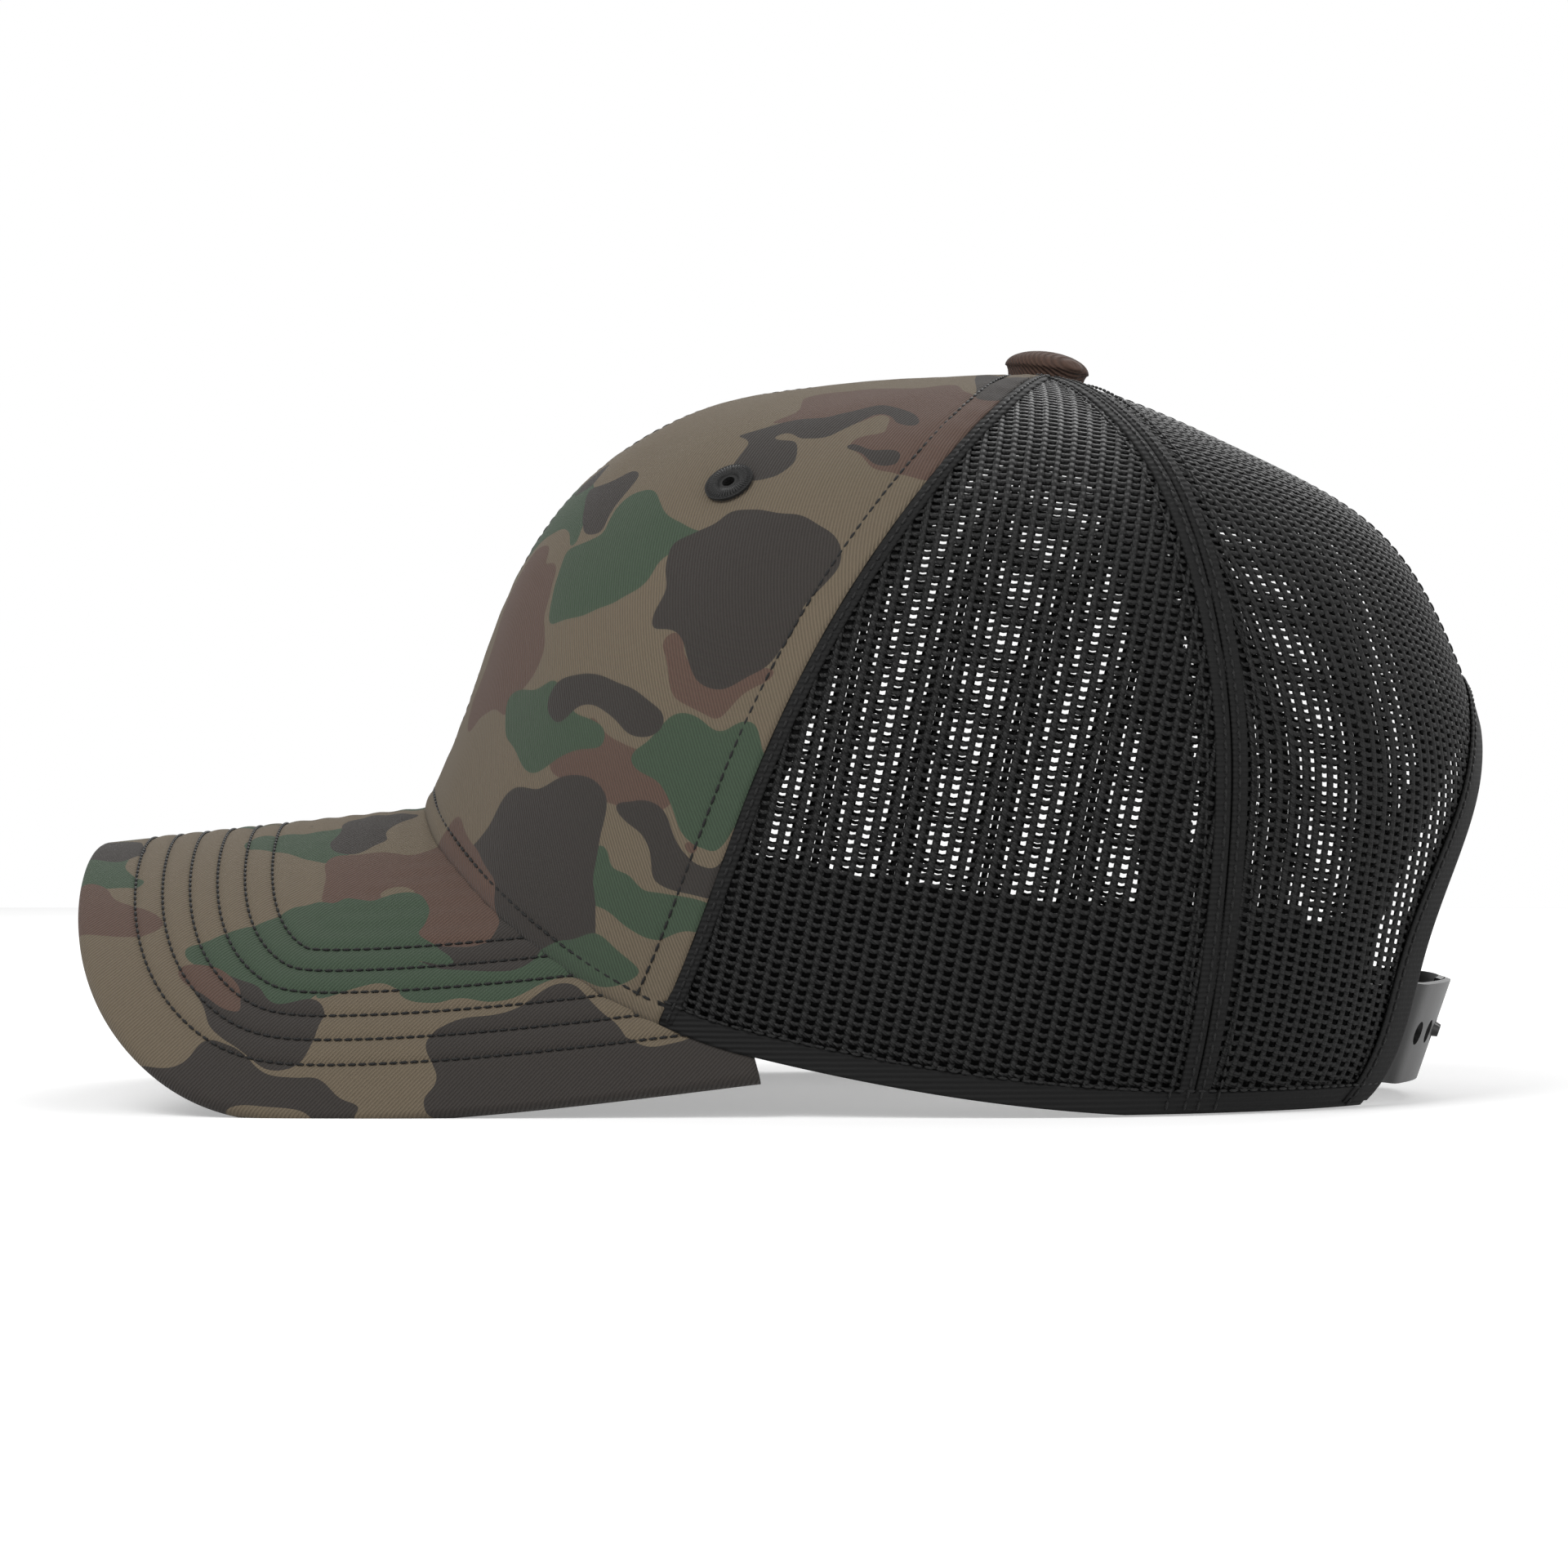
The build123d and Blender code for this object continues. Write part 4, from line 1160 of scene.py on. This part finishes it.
class CAP_OT_eyelets(bpy.types.Operator):
    """Make the embroidered rings round the ventilation eyelets"""
    bl_idname = "cap.eyelets"
    bl_label = "Eyelets"

    def execute(self, context):
        normal = crown_normal(EYELET_ANGLE, EYELET_CLIMB)
        side = unit(np.cross(normal, (0, 0, 1.0)))
        up = np.cross(side, normal)
        turns = np.linspace(0, 2 * math.pi, 49)[:, None]
        proud = FRONT_PROUD + EYELET_STITCH_PROUD
        ring = eyelet_middle() + normal * proud + EYELET_RING * (np.cos(turns) * side + np.sin(turns) * up)
        outward = np.tile(normal, (len(ring), 1))
        size = (EYELET_REACH / 2 * MM, .00030, .00042)
        for hand, turn in (("left", 1), ("right", -1)):
            flip = np.array([turn, 1, 1])
            rows = [(ring * flip, outward * flip)]
            stitch_rows(f"eyelet_embroidery_{hand}", rows, EYELET_STITCH_PITCH, size,
                        finish_called("embroidery thread"), "cap_shell", radial=True)
        return {"FINISHED"}


def seam_row(seam, offset, low, high, proud, sign):
    climb = np.linspace(low, high, 260)
    angle = beside(seam, climb, offset) * sign
    return layer(angle, climb, np.full_like(climb, -proud)), crown_normal(angle, climb)


class CAP_OT_stitching(bpy.types.Operator):
    """Lay the topstitching on the crown, hem, binding and visor"""
    bl_idname = "cap.stitching"
    bl_label = "Stitching"

    def execute(self, context):
        thread = finish_called("black thread")
        radius = sizes().thread
        pitch = sizes().crown_pitch
        size = (pitch * STITCH_HALF_SHARE, radius, radius)
        crown_rows, band_rows = [], []
        for sign in (1, -1):
            crown_rows.append(seam_row(CENTRE_SEAM, CENTRE_ROW, .02, .95, THREAD_PROUD, sign))
            crown_rows.append(seam_row(FRONT_SEAM, FRONT_EDGE_ROW, .02, .955, THREAD_PROUD, sign))
            band_rows.append(seam_row(FRONT_SEAM, FRONT_BAND_ROW, .01, .96, THREAD_ON_BAND, sign))
            for offset in REAR_ROWS:
                band_rows.append(seam_row(REAR_SEAM, offset, .01, .96, THREAD_ON_BAND, sign))
            back_low = float(climb_at(180.0, ARCH_TOP + BINDING_WIDTH + 1))
            band_rows.append(seam_row(BACK_CENTRE, BACK_CENTRE_ROW, back_low, .95, THREAD_ON_BAND, sign))
            hem_rows = ((1, 60.5, FRONT_HEM_ROW, THREAD_PROUD, crown_rows),
                        (63, 149, MESH_HEM_ROW, THREAD_ON_HEM, band_rows))
            for start, end, rise, proud, rows in hem_rows:
                angle = np.linspace(start, end, 260) * sign
                climb = climb_at(angle, hem_height(angle) + rise)
                rows.append((layer(angle, climb, np.full_like(climb, -proud)), crown_normal(angle, climb)))
        stitch_rows("front_panel_stitching", crown_rows, pitch, size, thread, "cap_shell")
        stitch_rows("mesh_seam_stitching", band_rows, pitch, size, thread, "cap_shell")
        line, outward = arch_line(150)
        place = line + outward * (BINDING_WIDTH - BINDING_ROW)
        angle, climb = back_place(place[:, 0], place[:, 1])
        proud = BINDING_THICKNESS + BINDING_CLEARANCE
        binding_row = (layer(angle, climb, np.full_like(climb, -proud)), crown_normal(angle, climb))
        stitch_rows("binding_stitching", [binding_row], pitch, size, thread, "cap_shell")
        edge = visor_edge_line()
        along = unit(np.gradient(edge, axis=0))
        inward = np.stack([-along[:, 1], along[:, 0]], -1)
        hem = visor_hem(np.linspace(-1, 1, 600))
        top_rows, under_rows = [], []
        for row in range(ROW_COUNT):
            inset = FIRST_ROW_INSET + row * ROW_STEP
            flat = edge + inward * inset
            clear = distance_to(flat, edge) > inset - .12
            ahead = flat[:, 1] < np.interp(flat[:, 0], hem[:, 0], hem[:, 1]) - .6
            flat = flat[clear & ahead & (np.abs(flat[:, 0]) < hem[-1, 0] + 12)]
            top_rows.append((visor_place(flat, THREAD_PROUD), visor_normal(flat)))
            under_depth = VISOR_UNDER_DEPTH + VISOR_COVER - .12
            under_rows.append((visor_place(flat, under_depth), -visor_normal(flat)))
        pitch = sizes().visor_pitch
        size = (pitch * STITCH_HALF_SHARE, radius, radius)
        stitch_rows("visor_row_stitching", top_rows, pitch, size, thread, "cap_shell")
        stitch_rows("visor_under_stitching", under_rows, pitch, size, thread, "cap_shell")
        return {"FINISHED"}


class CAP_OT_fittings(bpy.types.Operator):
    """Paint the frame's own straps, tabs, tapes, stiffeners and button metal"""
    bl_idname = "cap.fittings"
    bl_label = "Straps and Inner Pieces"

    def execute(self, context):
        finishes = {"strap": "strap plastic", "tape": "black tape", "buckram": "stiffener",
                    "board": "visor board plastic", "core": "button metal", "washer": "button metal",
                    "eyelet": "black thread"}
        for name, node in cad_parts.items():
            for word, finish in finishes.items():
                if word in name:
                    node.data.materials.clear()
                    node.data.materials.append(finish_called(finish))
        return {"FINISHED"}


def area_light(name, place, target, size, power):
    lamp = bpy.data.lights.new(name, "AREA")
    lamp.size = size
    lamp.energy = power
    light = bpy.data.objects.new(name, lamp)
    light.location = place
    reach = [t - p for t, p in zip(target, place)]
    flat = math.hypot(reach[0], reach[1])
    light.rotation_euler = (math.atan2(flat, -reach[2]), 0, math.atan2(-reach[0], reach[1]))
    bpy.context.scene.collection.objects.link(light)


def white_backdrop(tree, lit, strength):
    """Shows white to the camera and to mirrors, and the plain level to the object."""
    path = tree.nodes.new("ShaderNodeLightPath")
    seen = path.outputs["Is Camera Ray"]
    for way in ("Is Glossy Ray", "Is Transmission Ray"):
        either = tree.nodes.new("ShaderNodeMath")
        either.operation = "MAXIMUM"
        tree.links.new(seen, either.inputs[0])
        tree.links.new(path.outputs[way], either.inputs[1])
        seen = either.outputs[0]
    level = tree.nodes.new("ShaderNodeMapRange")
    level.inputs[3].default_value = lit
    level.inputs[4].default_value = strength
    tree.links.new(seen, level.inputs[0])
    return level.outputs[0]


class CAP_OT_stage(bpy.types.Operator):
    """Set the floor, the world, the lights and the camera"""
    bl_idname = "cap.stage"
    bl_label = "Stage"

    def execute(self, context):
        corners = [(x * FLOOR_REACH, y * FLOOR_REACH, FLOOR_LEVEL)
                   for x, y in ((-1, -1), (1, -1), (1, 1), (-1, 1))]
        floor = make_object("studio_floor", np.array(corners), [(0, 1, 2, 3)])
        paper = bpy.data.materials.new("floor paper")
        paper.use_nodes = True
        shader = paper.node_tree.nodes["Principled BSDF"]
        shader.inputs["Base Color"].default_value = (.86, .86, .86, 1)
        shader.inputs["Roughness"].default_value = 1.0
        shader.inputs["Specular IOR Level"].default_value = 0.0
        shader.inputs["Emission Color"].default_value = (1, 1, 1, 1)
        glow = white_backdrop(paper.node_tree, 0.0, PLAIN_LEVEL)
        paper.node_tree.links.new(glow, shader.inputs["Emission Strength"])
        floor.data.materials.append(paper)
        world = bpy.data.worlds.new("studio")
        world.use_nodes = True
        sky = world.node_tree.nodes["Background"]
        sky.inputs["Color"].default_value = (1, 1, 1, 1)
        level = white_backdrop(world.node_tree, PLAIN_LEVEL, 1.0)
        world.node_tree.links.new(level, sky.inputs["Strength"])
        context.scene.world = world
        for name, place, power in LIGHTS:
            area_light(name, place, LIGHT_TARGET, LIGHT_SIZE, power)
        view = bpy.data.cameras.new("studio_camera")
        view.lens = CAMERA_LENS
        view.sensor_width = CAMERA_SENSOR
        camera = bpy.data.objects.new("studio_camera", view)
        camera.location = CAMERA_PLACE
        camera.rotation_euler = (math.pi / 2, 0, math.pi / 2)
        context.scene.collection.objects.link(camera)
        context.scene.camera = camera
        context.scene.view_settings.view_transform = "Standard"
        return {"FINISHED"}


OPERATORS = (CAP_OT_materials, CAP_OT_front_panels, CAP_OT_visor, CAP_OT_mesh_panels, CAP_OT_seam_bands,
             CAP_OT_sweatband, CAP_OT_binding, CAP_OT_button, CAP_OT_eyelets, CAP_OT_stitching,
             CAP_OT_fittings, CAP_OT_stage)


class CAP_PT_panel(bpy.types.Panel):
    """Steps of the cap, in order"""
    bl_idname = "CAP_PT_panel"
    bl_label = "Mesh-Back Cap"
    bl_space_type = "VIEW_3D"
    bl_region_type = "UI"
    bl_category = "Cap"

    def draw(self, context):
        for group in (context.scene.cap_sizes, context.scene.cap_colours):
            for name in group.__annotations__:
                self.layout.prop(group, name)
        for operator in OPERATORS:
            self.layout.operator(operator.bl_idname)


CLASSES = (CapSizes, CapColours, *OPERATORS, CAP_PT_panel)


def register():
    for item in CLASSES:
        bpy.utils.register_class(item)
    bpy.types.Scene.cap_sizes = bpy.props.PointerProperty(type=CapSizes)
    bpy.types.Scene.cap_colours = bpy.props.PointerProperty(type=CapColours)


def unregister():
    del bpy.types.Scene.cap_colours
    del bpy.types.Scene.cap_sizes
    for item in reversed(CLASSES):
        bpy.utils.unregister_class(item)


def main():
    register()
    for operator in OPERATORS:
        name = operator.bl_idname.split(".")[1]
        getattr(bpy.ops.cap, name)()


if __name__ == "__main__":
    main()
